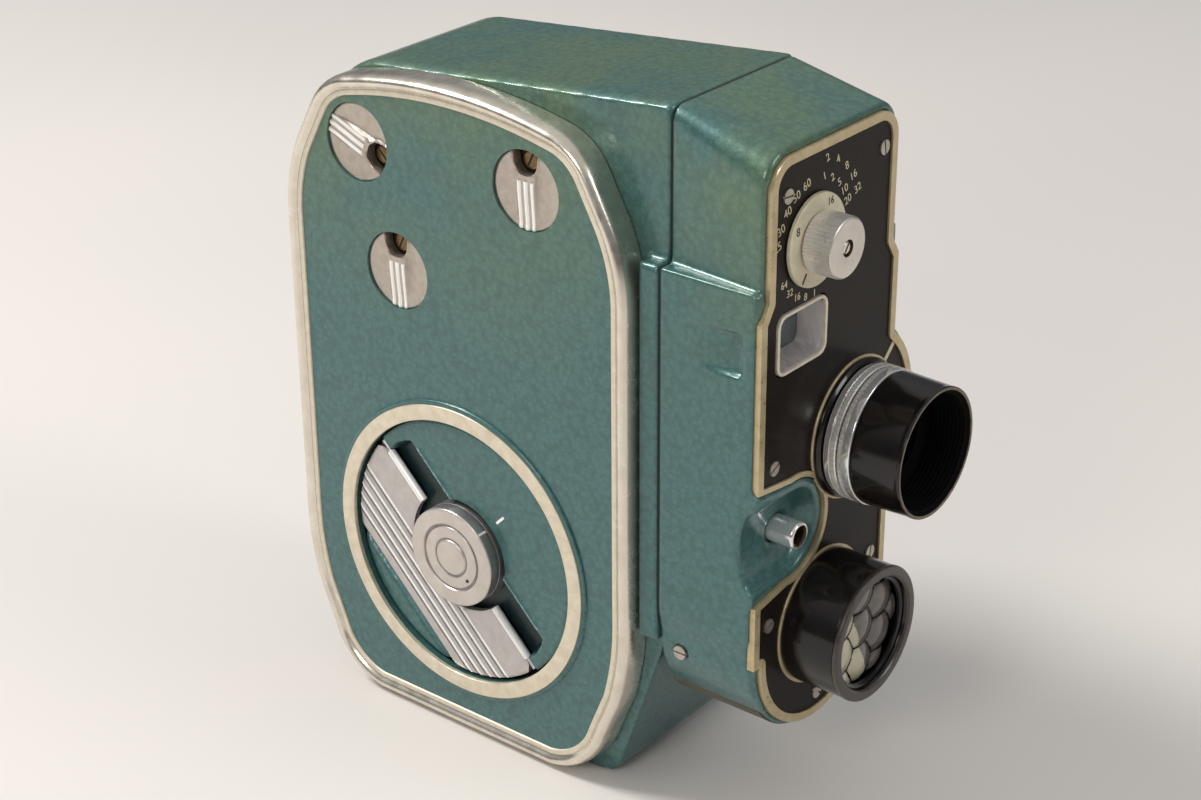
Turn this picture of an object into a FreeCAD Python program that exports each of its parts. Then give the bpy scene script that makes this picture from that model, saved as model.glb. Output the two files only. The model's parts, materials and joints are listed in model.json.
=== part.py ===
"""Clockwork 8 mm spool cine camera with a built-in light meter.

Millimetres. +Z is up, the lens looks along -Y, and -X is the winding side.
The origin is on the flat underside, in the middle plane of the case, below
the centre of the winding key.
"""
import FreeCAD, Part
import math
import os

V = FreeCAD.Vector

# ---------------------------------------------------------------- driving dimensions
CASE_HALF = 16.0          # half width of the case between its two side covers
STRIP_HALF = 19.0         # half width of the lower front housing
COVER_FACE = 20.5         # outside face of a side cover, from the middle plane
COVER_THICK = 1.2
WALL = 2.2                # case wall
SEAM_Y = -40.9            # joint between the rear shell and the front casting
SEAM_TOP = 122.4          # height of the case at that joint
PLATE_SEAT_Y = -58.4      # floor of the recess that holds the front plate
PLATE_Y = -59.4           # front face of the front plate
CASTING_Y = -59.2         # front edge of the front casting
LEDGE_Z = 97.6            # top of the lower front housing
STRIP_BOTTOM = 31.8
COVER_HALF = 33.1         # half length of a side cover, along Y
DOOR_SHRINK = 1.5         # the film door is this much smaller all round
BEAD = 3.4                # width of the nickel bead round a cover
RIM = 1.5                 # width of the gold rim round the front plate

KEY = (0.0, 35.1)         # winding axis (Y, Z)
KEY_R = 23.9
RING_IN, RING_OUT = 24.2, 27.0
HUB_R = 9.0
WING_PIN = 1.4            # hinge pins of the folding wing, off the winding axis
WING_OUTER = 18.2         # straight outer edge of the wing
WING_NOTCH_R = 11.0       # the wing's cut-out round the hub
THUMB_R = 6.6
THUMBS = {                # node: (Y, Z, direction of its mouth in degrees from +Y towards +Z)
    "thumb_disc_rear": (19.5, 104.4, 199.0),
    "thumb_disc_front": (-16.3, 104.4, 90.0),
    "thumb_disc_lower": (11.8, 83.8, 90.0),
}

LENS = (7.9, 66.2)        # taking lens axis (X, Z)
LENS_R = 11.2
SEAT_R = 11.6             # black seat between the lens and the front plate
HOOD_FRONT_Y = -74.8
CELL = (0.2, 35.5)        # meter cell axis (X, Z)
CELL_R = 11.4
CELL_FRONT_Y = -70.3
DIAL = (-5.2, 102.4)      # speed dial axis (X, Z)
FINDER = (-7.7, 87.6)     # viewfinder window centre (X, Z)
FINDER_SIZE = (13.8, 10.8)
EYEPIECE = (-9.9, 87.7)
BUTTON = (-9.0, 54.3)     # release button axis (X, Z)
BUTTON_R = 2.3
SCOOP_R = 8.0
SCOOP_BACK = -56.6          # deepest point of the scoop
SCOOP_DISH_R = 15.0         # its back is a shallow dish
SCOOP_Y = -63.0           # centre of the round finger scoop, in front of the plate

MAIN_PLATE = (-5.4, -3.9)     # the plate between mechanism and film chamber (X)
SPOOL_R = 25.3
SPOOLS = {"supply_spool": (5.0, 83.2), "take_up_spool": (5.0, 32.0)}
SPOOL_X = (-3.2, 14.2)
MODULE = 0.7
BARREL_TEETH, IDLER_PINION_TEETH = 64, 12
IDLER_TEETH, GOVERNOR_TEETH = 48, 10
FINE_MODULE = 0.5
IDLER_ANGLE, GOVERNOR_ANGLE = 120.0, 100.0
CLICK_PIVOT = (13.0, 33.1)
SHUTTER = (-1.5, 67.5)    # shutter axis (X, Z)
ROLLER_Y = -34.4
ROLLERS = {"upper_film_roller": 104.0, "lower_film_roller": 46.0}
CASE_SCREW = (-45.0, 31.3)    # slotted screw low on each side of the front casting (Y, Z)
CASE_SCREW_X = 18.1           # half the casting's width at that height
TRIPOD_Y = -12.0
TRIPOD_R = 3.175          # quarter-inch photographic thread, major radius
FIT = 0.05                # radial running clearance

X_AXIS, Y_AXIS, Z_AXIS = V(1, 0, 0), V(0, 1, 0), V(0, 0, 1)


# ---------------------------------------------------------------- small helpers
def on_side(x):
    """Maps (y, z) to a point on the plane X = x."""
    return lambda p: V(x, p[0], p[1])


def on_front(y):
    """Maps (x, z) to a point on the plane Y = y."""
    return lambda p: V(p[0], y, p[1])


def outline(start, steps, place):
    """A closed wire. A step is (end,) for a line or (mid, end) for an arc."""
    edges = []
    here = start
    for step in steps:
        end = step[-1]
        if len(step) == 1:
            edges.append(Part.LineSegment(place(here), place(end)).toShape())
        else:
            edges.append(Part.Arc(place(here), place(step[0]), place(end)).toShape())
        here = end
    return Part.Wire(edges)


def mirrored(half, flip):
    """Closes a half outline: the steps, then the same steps backwards, mirrored."""
    start, steps = half
    points = [start] + [step[-1] for step in steps]
    back = []
    for index in range(len(steps) - 1, -1, -1):
        end = flip(points[index])
        back.append((end,) if len(steps[index]) == 1 else (flip(steps[index][0]), end))
    return start, list(steps) + back


def resized(wire, distance):
    """The wire, offset outwards by a distance, or inwards if it is negative."""
    return wire.makeOffset2D(distance, 0, False, False, False) if distance else wire


def slab(wire, thickness, direction):
    return Part.Face(wire).extrude(direction * thickness)


def rod(radius, start, end):
    """A round bar between two points."""
    a, b = V(*start), V(*end)
    return Part.makeCylinder(radius, (b - a).Length, a, b - a)


def tube(outer, inner, start, end):
    return rod(outer, start, end).cut(rod(inner, start, end))


def box(corner, opposite):
    low = [min(a, b) for a, b in zip(corner, opposite)]
    size = [abs(b - a) for a, b in zip(corner, opposite)]
    return Part.makeBox(*size, V(*low))


def fused(shapes):
    """One solid from several that touch or overlap."""
    return shapes[0].multiFuse(shapes[1:]).removeSplitter() if len(shapes) > 1 else shapes[0]


def eased(shape, radius, chosen):
    """Rounds the edges that chosen() accepts, or leaves the shape as it is if they can't be."""
    edges = [edge for edge in shape.Edges if chosen(edge)]
    if not edges:
        return shape
    try:
        done = shape.makeFillet(radius, edges)
        if done.isValid() and done.Solids:
            return done.Solids[0]
    except Part.OCCError:
        pass
    return shape


def edges_at(axis, value, slack=0.02):
    """Accepts edges that lie wholly in the plane axis = value."""
    low, high = axis + "Min", axis + "Max"
    return lambda e: (abs(getattr(e.BoundBox, low) - value) < slack
                      and abs(getattr(e.BoundBox, high) - value) < slack)


def save(name, shape):
    solids = shape.Solids
    if not solids or not all(s.isValid() and s.isClosed() for s in solids):
        print("CHECK", name, "solids", len(solids))
    shape = solids[0] if len(solids) == 1 else Part.makeCompound(solids)
    shape.exportStep("parts/%s.step" % name)


# ---------------------------------------------------------------- outlines
def cover_half():
    """Half of a side cover's outline (Y >= 0), from the middle of its foot upwards."""
    return (0.0, 3.6), [
        ((19.5, 3.6),),
        ((25.0, 6.3), (28.0, 11.2)),
        ((31.2, 19.0),),
        ((32.7, 26.5), (COVER_HALF, 35.0)),
        ((COVER_HALF, 89.0),),
        ((32.4, 95.0), (30.2, 101.2)),
        ((26.6, 107.8),),
        ((24.3, 110.6), (20.5, 112.2)),
        ((10.3, 113.93), (0.0, 114.5)),
    ]


def cover_wire(x, grow=0.0):
    start, steps = mirrored(cover_half(), lambda p: (-p[0], p[1]))
    return resized(outline(start, steps, on_side(x)), grow)


def plate_wire(y, grow=0.0):
    """Outer edge of the front plate's gold rim, without the scoop's bay."""
    top, upper, lower, foot = 117.6, 16.7, 18.5, 16.7
    corner = 5.0
    slant = (corner * (1 - math.sqrt(0.5)))
    bulge = 16.7
    reach = math.sqrt(bulge ** 2 - (lower - LENS[0]) ** 2)
    foot_z = 33.4
    steps = [
        ((-upper, 95.6),),
        ((-lower, 92.8),),
        ((-lower, foot_z),),
        ((-foot, foot_z),),
        ((0.0, foot_z - foot), (foot, foot_z)),
        ((lower, foot_z),),
        ((lower, LENS[1] - reach),),
        ((LENS[0] + bulge, LENS[1]), (lower, LENS[1] + reach)),
        ((lower, 92.8),),
        ((upper, 95.6),),
        ((upper, top - corner),),
        ((upper - slant, top - slant), (upper - corner, top)),
        ((-upper + corner, top),),
        ((-upper + slant, top - slant), (-upper, top - corner)),
    ]
    return resized(outline((-upper, top - corner), steps, on_front(y)), grow)


def bay_wire(y, grow=0.0):
    """The bay in the front plate that the scoop's lip fills, open to the near side."""
    side = -STRIP_HALF - 6.0
    steps = [
        ((-9.5, 63.3),),
        ((0.1, 54.7), (-10.0, 46.2)),
        ((side, 43.6),),
        ((side, 65.4),),
    ]
    return resized(outline((side, 65.4), steps, on_front(y)), grow)


def rounded_rectangle(centre, size, radius, place):
    half_w, half_h = size[0] / 2, size[1] / 2
    nook = radius * (1 - math.sqrt(0.5))
    cx, cz = centre
    corners = [(1, 1), (-1, 1), (-1, -1), (1, -1)]
    start = (cx + half_w, cz + half_h - radius)
    steps = []
    for sx, sz in corners:
        mid = (cx + sx * (half_w - nook), cz + sz * (half_h - nook))
        along_top = (cx + sx * (half_w - radius), cz + sz * half_h)
        along_side = (cx + sx * half_w, cz + sz * (half_h - radius))
        entering_side = sx * sz > 0
        first, last = (along_side, along_top) if entering_side else (along_top, along_side)
        if steps:
            steps.append((first,))
        steps.append((mid, last))
    steps.append((start,))
    return outline(start, steps, place)


# ---------------------------------------------------------------- rear case shell
def case_profile(x, grow=0.0):
    """Side view of the rear shell: follows the covers, with a square shoulder in front."""
    half = BEAD - 0.2
    start = (-27.3, 0.0)
    steps = [
        ((19.6, 0.0),),
        ((27.2, 3.7), (30.9, 9.6)),
        ((34.2, 17.8),),
        ((35.8, 25.9), (COVER_HALF + half, 35.0)),
        ((COVER_HALF + half, 89.4),),
        ((35.6, 96.0), (33.2, 102.6)),
        ((29.5, 109.4),),
        ((25.6, 114.3), (18.6, 117.2)),
        ((SEAM_Y, SEAM_TOP),),
        ((SEAM_Y, STRIP_BOTTOM),),
        ((-31.6, 4.2),),
        ((-30.1, 1.2), start),
    ]
    return resized(outline(start, steps, on_side(x)), grow)


def rear_case():
    shell = slab(case_profile(-CASE_HALF), 2 * CASE_HALF, X_AXIS)
    shell = eased(shell, 1.6, lambda e: abs(abs(e.CenterOfMass.x) - CASE_HALF) < 0.01
                  and e.BoundBox.ZMin > 109.0)
    hollow = slab(case_profile(-CASE_HALF - 5, -WALL), 2 * CASE_HALF + 10, X_AXIS)
    shell = shell.cut(hollow)
    for side, shrink in ((-1, 0.0), (1, DOOR_SHRINK)):
        inner_x = side * (CASE_HALF - 2.0)
        wall = slab(case_profile(inner_x, -0.5), 2.0, X_AXIS * side)
        opening = slab(cover_wire(inner_x - side, -1.0 - shrink), 5.0, X_AXIS * side)
        shell = shell.fuse(wall.cut(opening))
    window = box((-14.0, SEAM_Y - 1, 36.0), (14.0, SEAM_Y + 8, 118.0))
    shell = shell.cut(window)
    for side in (-1, 1):
        low = min(side * (CASE_HALF - 2.0), side * STRIP_HALF)
        strip = box((low, SEAM_Y, STRIP_BOTTOM), (low + STRIP_HALF - CASE_HALF + 2.0,
                                                  -COVER_HALF - BEAD - 0.15, LEDGE_Z))
        strip = eased(strip, 0.8, lambda e: abs(abs(e.CenterOfMass.x) - STRIP_HALF) < 0.01
                      and abs(e.CenterOfMass.y - SEAM_Y) > 0.01)
        shell = shell.fuse(strip)
    bush_hole = rod(6.0 + FIT, (0, TRIPOD_Y, -1), (0, TRIPOD_Y, WALL + 1))
    eye_hole = rod(3.6, (EYEPIECE[0], 30, EYEPIECE[1]), (EYEPIECE[0], 40, EYEPIECE[1]))
    shell = shell.cut(bush_hole).cut(eye_hole)
    save("rear_case", shell.removeSplitter())


def tripod_bush():
    body = rod(6.0, (0, TRIPOD_Y, 0), (0, TRIPOD_Y, 7.0))
    flange = rod(7.5, (0, TRIPOD_Y, WALL), (0, TRIPOD_Y, WALL + 1.2))
    thread = rod(TRIPOD_R, (0, TRIPOD_Y, -1), (0, TRIPOD_Y, 6.0))
    save("tripod_bush", fused([body, flange]).cut(thread))


# ---------------------------------------------------------------- front casting
def lower_block_wire(y, grow):
    """Front view of the lower housing: straight sides on a round foot."""
    half = STRIP_HALF + grow
    foot_z = CELL[1] - 1.2
    radius = 18.3 + grow
    steps = [
        ((-half, foot_z + 4.0),),
        ((-radius, foot_z),),
        ((0.0, foot_z - radius), (radius, foot_z)),
        ((half, foot_z + 4.0),),
        ((half, LEDGE_Z + grow),),
        ((-half, LEDGE_Z + grow),),
    ]
    return outline((-half, LEDGE_Z + grow), steps, on_front(y))


def upper_block(grow, front_y, back_y):
    """The upper housing flares a little from the seam to the front plate."""
    sections = []
    for y, half, top, radius in ((back_y, CASE_HALF, SEAM_TOP, 2.5), (front_y, 17.7, 118.7, 5.5)):
        low = 60.0
        height = top + grow - low
        sections.append(rounded_rectangle((0, low + height / 2), (2 * (half + grow), height),
                                          radius, on_front(y)))
    return Part.makeLoft(sections, True, True)


def scoop(radius):
    """A round-ended trough that runs out through the near side."""
    x, z = BUTTON
    trough = rod(radius, (x, SCOOP_Y, z), (x - 25, SCOOP_Y, z))
    trough = trough.fuse(Part.makeSphere(radius, V(x, SCOOP_Y, z)))
    dish = SCOOP_DISH_R + radius - SCOOP_R
    centre = SCOOP_BACK - SCOOP_DISH_R
    return trough.common(rod(dish, (x + 15, centre, z), (x - 30, centre, z)))


def lip():
    """The scoop's lip: level with the plate above, standing proud of it below."""
    raised = slab(bay_wire(PLATE_SEAT_Y + 0.5), 4.5, -Y_AXIS)
    raised = raised.common(box((-STRIP_HALF, -70, 30), (10, -50, 80)))
    tilt = math.degrees(math.atan2(2.0, 13.0))
    cap = Part.makeBox(60, 20, 80, V(-40, -20, -40))
    cap.rotate(V(0, 0, 0), X_AXIS, tilt)
    cap.translate(V(0, PLATE_Y + 0.1, 58.0))
    flat = box((-40, -80, 20), (20, PLATE_Y + 0.1, 90))
    ramp = raised.cut(cap)
    level = raised.cut(flat)
    seat = rod(SEAT_R + 0.05, (LENS[0], -70, LENS[1]), (LENS[0], PLATE_Y + 0.1, LENS[1]))
    return ramp.fuse(level).removeSplitter().cut(seat)


def plate_holes(y_front, y_back, grow=0.0):
    """What passes through the front plate and the casting behind it."""
    cuts = [
        rod(9.3 + grow, (LENS[0], y_front, LENS[1]), (LENS[0], y_back, LENS[1])),
        rod(10.0 + grow, (CELL[0], y_front, CELL[1]), (CELL[0], y_back, CELL[1])),
        rod(1.5 + FIT, (DIAL[0], y_front, DIAL[1]), (DIAL[0], y_back, DIAL[1])),
    ]
    window = rounded_rectangle(FINDER, (FINDER_SIZE[0] - 0.4 + grow, FINDER_SIZE[1] - 0.4 + grow),
                               1.8, on_front(y_front))
    cuts.append(slab(window, y_back - y_front, Y_AXIS))
    return cuts


def front_case():
    depth = SEAM_Y - CASTING_Y
    lower = slab(lower_block_wire(CASTING_Y, 0.0), depth, Y_AXIS)
    upper = upper_block(0.0, CASTING_Y, SEAM_Y)
    bulge = rod(17.7, (LENS[0], CASTING_Y, LENS[1]), (LENS[0], CASTING_Y + 12.5, LENS[1]))
    bulge = eased(bulge, 3.0, edges_at("Y", CASTING_Y + 12.5))
    body = fused([lower, upper, bulge])
    body = eased(body, 0.9, edges_at("Y", CASTING_Y))
    body = eased(body, 1.0, lambda e: abs(abs(e.CenterOfMass.x) - STRIP_HALF) < 0.05
                 and abs(e.CenterOfMass.z - LEDGE_Z) < 0.6)
    recess = slab(plate_wire(PLATE_SEAT_Y), 5.0, -Y_AXIS)
    body = body.cut(recess)
    body = body.fuse(lip())

    thick = 2.0
    cavity_front = PLATE_SEAT_Y + 2.4
    cavity_depth = SEAM_Y + 1.0 - cavity_front
    cavity = fused([
        slab(lower_block_wire(cavity_front, -thick), cavity_depth, Y_AXIS),
        upper_block(-thick, cavity_front, SEAM_Y + 1.0).common(box((-30, -70, 70), (30, 0, 140))),
        rod(15.7, (LENS[0], cavity_front, LENS[1]), (LENS[0], CASTING_Y + 10.5, LENS[1])),
    ])
    cavity = cavity.cut(scoop(SCOOP_R + 1.8))
    cavity = cavity.cut(box((-30, SEAM_Y - thick, 0), (30, SEAM_Y + 2, STRIP_BOTTOM + thick)))
    body = body.cut(cavity)
    body = body.cut(scoop(SCOOP_R))
    for cut in plate_holes(-62.0, -50.0):
        body = body.cut(cut)
    x, z = BUTTON
    body = body.cut(rod(BUTTON_R + FIT, (x, -70, z), (x, -45, z)))
    body = body.cut(side_pocket())
    body = body.cut(foot_band(0.0))
    y, z = CASE_SCREW
    body = body.cut(rod(1.2, (-30, y, z), (-CASE_SCREW_X + 1.2, y, z)))
    body = body.cut(rod(1.2, (CASE_SCREW_X - 1.2, y, z), (30, y, z)))
    save("front_case", body.removeSplitter())


def side_pocket():
    """A shallow ramped thumb recess, deepest at its front end."""
    rear, front, low, high, deep = -45.0, -56.4, 83.6, 90.6, 1.3
    face = outline((-STRIP_HALF - 0.5, rear),
                   [((-STRIP_HALF - 0.5, front),), ((-STRIP_HALF + deep, front),),
                    ((-STRIP_HALF - 0.5, rear),)],
                   lambda p: V(p[0], p[1], low))
    return slab(face, high - low, Z_AXIS)


def foot_band(gap):
    """The dark strip let into the underside of the front casting."""
    centre_z = CELL[1] - 1.2
    start, end = (0.0, CASTING_Y + 1.0, centre_z), (0.0, SEAM_Y + gap, centre_z)
    ring = tube(18.31 - gap, 17.4 + gap, start, end)
    half_width = 14.6 - gap
    return ring.common(box((-half_width, -70, 10), (half_width, -30, centre_z - 5)))


# ---------------------------------------------------------------- front plate group
def front_plate_group():
    thickness = PLATE_SEAT_Y - PLATE_Y
    bay = slab(bay_wire(PLATE_SEAT_Y + 1), 6.0, -Y_AXIS)
    rim_bay = slab(bay_wire(PLATE_SEAT_Y + 1, 0.9), 6.0, -Y_AXIS)
    outer = slab(plate_wire(PLATE_SEAT_Y, -0.05), thickness + 0.35, -Y_AXIS).cut(bay)
    inner = slab(plate_wire(PLATE_SEAT_Y + 1, -RIM), 6.0, -Y_AXIS).cut(rim_bay)
    rim = outer.cut(inner)
    rim = rim.cut(rod(SEAT_R + 0.05, (LENS[0], -70, LENS[1]), (LENS[0], PLATE_Y, LENS[1])))
    rim = max(rim.Solids, key=lambda s: s.Volume)

    plate = slab(plate_wire(PLATE_SEAT_Y, -RIM - 0.03), thickness, -Y_AXIS)
    plate = plate.cut(slab(bay_wire(PLATE_SEAT_Y + 1, 0.93), 6.0, -Y_AXIS))
    plate = max(plate.Solids, key=lambda s: s.Volume)
    for cut in plate_holes(-62.0, -55.0):
        plate = plate.cut(cut)

    screws = []
    places = [(-12.3, 111.3), (13.2, 111.5), (-14.0, 67.6), (-14.3, 39.9), (14.4, 40.5), (0.1, 20.6)]
    for x, z in places:
        plate = plate.cut(rod(1.25, (x, -61, z), (x, -58, z)))
        head = rod(1.2, (x, PLATE_Y - 0.25, z), (x, PLATE_SEAT_Y, z))
        slot = box((x - 1.3, PLATE_Y - 0.4, z - 0.16), (x + 1.3, PLATE_Y + 0.1, z + 0.16))
        slot.rotate(V(x, 0, z), Y_AXIS, 35.0 + 17.0 * x)
        screws.append(head.cut(slot))
    save("front_plate", plate)
    save("front_plate_rim", rim)
    for side in (-1, 1):
        y, z = CASE_SCREW
        outer_x = side * (CASE_SCREW_X + 0.2)
        head = rod(1.2, (outer_x - side * 1.4, y, z), (outer_x, y, z))
        slot = box((outer_x - side * 0.3, y - 1.3, z - 0.16), (outer_x + side, y + 1.3, z + 0.16))
        screws.append(head.cut(slot))
    save("slotted_screws", Part.makeCompound(screws))


# ---------------------------------------------------------------- side covers
def cover_trim(side, shrink):
    """A nickel bead: flat flange inside, rounded crest, straight skirt down to the case."""
    x_in = side * CASE_HALF
    depth = COVER_FACE + 0.9 - CASE_HALF
    outer = slab(cover_wire(x_in, BEAD - shrink), depth, X_AXIS * side)
    face_x = side * (COVER_FACE + 0.9)
    outer = eased(outer, 2.1, edges_at("X", face_x))
    seat = slab(cover_wire(side * (COVER_FACE - COVER_THICK), 0.02 - shrink), 5.0, X_AXIS * side)
    through = slab(cover_wire(x_in, -1.0 - shrink), 10.0, X_AXIS * side)
    step_x = side * (COVER_FACE + 0.2)
    flange = slab(cover_wire(step_x, 0.9 - shrink), 3.0, X_AXIS * side)
    return outer.cut(seat).cut(through).cut(flange)


def cover_plate(side, shrink):
    x = side * (COVER_FACE - COVER_THICK)
    return slab(cover_wire(x, -0.02 - shrink), COVER_THICK, X_AXIS * side)


def winding_cover_group():
    y, z = KEY
    cover = cover_plate(-1, 0.0)
    collar = rod(RING_OUT + 0.8, (-COVER_FACE + 0.2, y, z), (-COVER_FACE - 0.5, y, z))
    collar = eased(collar, 0.45, edges_at("X", -COVER_FACE - 0.5))
    cover = cover.fuse(collar)
    cover = cover.cut(rod(RING_OUT + 0.02, (-COVER_FACE, y, z), (-COVER_FACE - 2, y, z)))
    cover = cover.cut(rod(RING_IN, (-10, y, z), (-30, y, z)))
    for ty, tz, _mouth in THUMBS.values():
        cover = cover.cut(rod(THUMB_R + 0.1, (-10, ty, tz), (-30, ty, tz)))
    save("winding_cover", cover.removeSplitter())
    save("winding_cover_bead", cover_trim(-1, 0.0))
    ring = tube(RING_OUT, RING_IN, (-COVER_FACE, y, z), (-COVER_FACE - 0.75, y, z))
    save("winding_ring", eased(ring, 0.25, edges_at("X", -COVER_FACE - 0.75)))


def turned_to_wing(shape):
    """Turns a shape drawn with the wing's length along Y into the wing's 45 degree place."""
    shape.rotate(V(0, KEY[0], KEY[1]), X_AXIS, 45.0)
    return shape


def winding_key():
    y, z = KEY
    face = -COVER_FACE + 0.1
    disc = rod(KEY_R, (-17.8, y, z), (face, y, z))
    disc = eased(disc, 0.4, edges_at("X", face))
    floor_x = face + 1.8
    slot = box((face - 2, y - 40, z - WING_OUTER - 0.35), (floor_x, y + 40, z + 4.8))
    slot = eased(slot, 0.9, lambda e: abs(e.CenterOfMass.x - floor_x) < 0.01
                 and abs(e.CenterOfMass.z - z - 4.8) < 0.01)
    disc = disc.cut(turned_to_wing(slot))
    pin_x, pin_z = face + 0.75, z - WING_PIN
    pins = []
    for sign in (-1, 1):
        lug = box((floor_x + 0.3, y + sign * 22.2, pin_z - 0.9), (face + 0.1, y + sign * 26, pin_z + 0.9))
        lug = turned_to_wing(lug).common(rod(KEY_R - 0.02, (-30, y, z), (-10, y, z)))
        pin = turned_to_wing(rod(0.4, (pin_x, y + sign * 20.0, pin_z), (pin_x, y + sign * 23.4, pin_z)))
        disc = disc.fuse(lug).cut(pin)
        pins.append(pin)
    save("wing_hinge_pins", Part.makeCompound(pins))
    disc = disc.cut(rod(HUB_R + 0.9, (floor_x - 5, y, z), (floor_x, y, z)))
    disc = disc.cut(rod(2.4, (-30, y, z), (-10, y, z)))
    save("key_disc", disc.removeSplitter())

    hub = rod(HUB_R, (floor_x, y, z), (-23.0, y, z))
    hub = eased(hub, 0.5, edges_at("X", -23.0))
    for outer, inner in ((6.0, 5.7), (3.4, 3.1)):
        hub = hub.cut(tube(outer, inner, (-23.1, y, z), (-22.75, y, z)))
    hub = hub.cut(rod(0.35, (-23.1, y - 3.4, z - 2.6), (-22.6, y - 3.4, z - 2.6)))
    groove = tube(HUB_R + 1, HUB_R - 0.25, (-20.6, y, z), (-20.85, y, z))
    hub = hub.cut(groove).cut(rod(2.4, (-30 + 8.4, y, z), (-10, y, z)))
    save("key_hub", hub)

    ratchet = rod(8.0, (-7.4, y, z), (-6.4, y, z))
    teeth = 24
    for index in range(teeth):
        angle = 360.0 / teeth * index
        nick = outline((8.3, -0.05), [((8.3, 1.5),), ((6.9, -0.05),), ((8.3, -0.05),)],
                       lambda p: V(-8.0, y + p[0], z + p[1]))
        nick = slab(nick, 3.0, X_AXIS)
        nick.rotate(V(0, y, z), X_AXIS, angle)
        ratchet = ratchet.cut(nick)
    arbor = rod(2.4, (-21.6, y, z), (-4.3, y, z))
    save("winding_arbor", fused([arbor, ratchet]))

    wing = rod(KEY_R - 0.35, (face + 1.4, y, z), (face - 0.05, y, z))
    wing = wing.common(turned_to_wing(box((-30, y - 40, z - WING_OUTER), (-10, y + 40, pin_z))))
    roll = rod(0.72, (pin_x, y - 21.9, pin_z), (pin_x, y + 21.9, pin_z))
    wing = wing.fuse(turned_to_wing(roll))
    wing = wing.cut(rod(WING_NOTCH_R, (-30, y, z), (-10, y, z)))
    for sign in (-1, 1):
        corner = box((-30, y + sign * 21.9, pin_z - 1.6), (-10, y + sign * 40, pin_z + 3))
        hole = rod(0.4 + FIT, (pin_x, y + sign * 19.8, pin_z), (pin_x, y + sign * 25.0, pin_z))
        wing = wing.cut(turned_to_wing(corner)).cut(turned_to_wing(hole))
    for offset in (8.2, 10.1, 12.0, 13.8, 15.6):
        groove = box((-30, y - 40, z - offset - 0.28), (face + 0.3, y + 40, z - offset + 0.28))
        wing = wing.cut(turned_to_wing(groove))
    save("key_wing", wing.removeSplitter())


def thumb_discs():
    """Round dished discs with a ribbed thumb bar that ends in an open mouth."""
    face = -COVER_FACE + 0.35
    back = face + 1.6
    bases = []
    for name, (y, z, mouth) in THUMBS.items():
        disc = rod(THUMB_R, (back, y, z), (face, y, z))
        dish = Part.makeSphere(30.0, V(face - 29.4, y, z))
        disc = disc.cut(dish)
        bar = box((face + 1.2, y - 6.0, z - 2.1), (face - 0.35, y + 2.6, z + 2.1))
        bar = eased(bar, 0.7, lambda e: abs(e.CenterOfMass.x - face + 0.35) < 0.01
                    and e.Length > 5)
        for offset in (-1.05, 0.0, 1.05):
            groove = box((face - 1, y - 7, z + offset - 0.14), (face - 0.1, y + 1.6, z + offset + 0.14))
            bar = bar.cut(groove)
        disc = disc.fuse(bar.common(rod(THUMB_R, (-30, y, z), (-10, y, z))))
        opening = rod(2.5, (face - 3, y + 5.6, z), (back + 1, y + 5.6, z))
        disc = disc.cut(opening)
        disc = disc.fuse(rod(1.0, (face + 0.8, y, z), (back + 3.2, y, z)))
        disc.rotate(V(0, y, z), X_AXIS, mouth)
        save(name, disc.removeSplitter())
        cup = rod(THUMB_R + 1.2, (-COVER_FACE + COVER_THICK, y, z), (back + 1.3, y, z))
        cup = cup.common(slab(cover_wire(-COVER_FACE, -1.02), 6.0, X_AXIS))
        cup = cup.cut(rod(THUMB_R + 0.1, (-COVER_FACE, y, z), (back + 0.3, y, z)))
        bases.append(cup.cut(rod(1.0 + FIT, (-30, y, z), (-10, y, z))))
    save("thumb_disc_bases", Part.makeCompound(bases))


def film_door_group():
    y, z = 0.0, 60.0
    door = cover_plate(1, DOOR_SHRINK)
    knob_hole = rod(2.0 + FIT, (10, y, z), (30, y, z))
    dish = rod(12.5, (COVER_FACE - 0.5, y, z), (30, y, z))
    save("film_door", door.cut(dish).cut(knob_hole))
    save("film_door_bead", cover_trim(1, DOOR_SHRINK))
    knob = rod(11.8, (COVER_FACE - 0.3, y, z), (COVER_FACE + 1.2, y, z))
    knob = eased(knob, 0.5, edges_at("X", COVER_FACE + 1.2))
    bar = box((COVER_FACE + 0.6, y - 11.0, z - 2.2), (COVER_FACE + 4.0, y + 11.0, z + 2.2))
    bar = eased(bar, 1.2, lambda e: abs(e.CenterOfMass.x - COVER_FACE - 4.0) < 0.01)
    stem = rod(2.0, (COVER_FACE - 3.4, y, z), (COVER_FACE, y, z))
    cam = box((COVER_FACE - 3.4, y - 2.0, z - 9.0), (COVER_FACE - 2.2, y + 2.0, z + 9.0))
    save("door_lock_knob", fused([knob, bar, stem, cam]))


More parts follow.
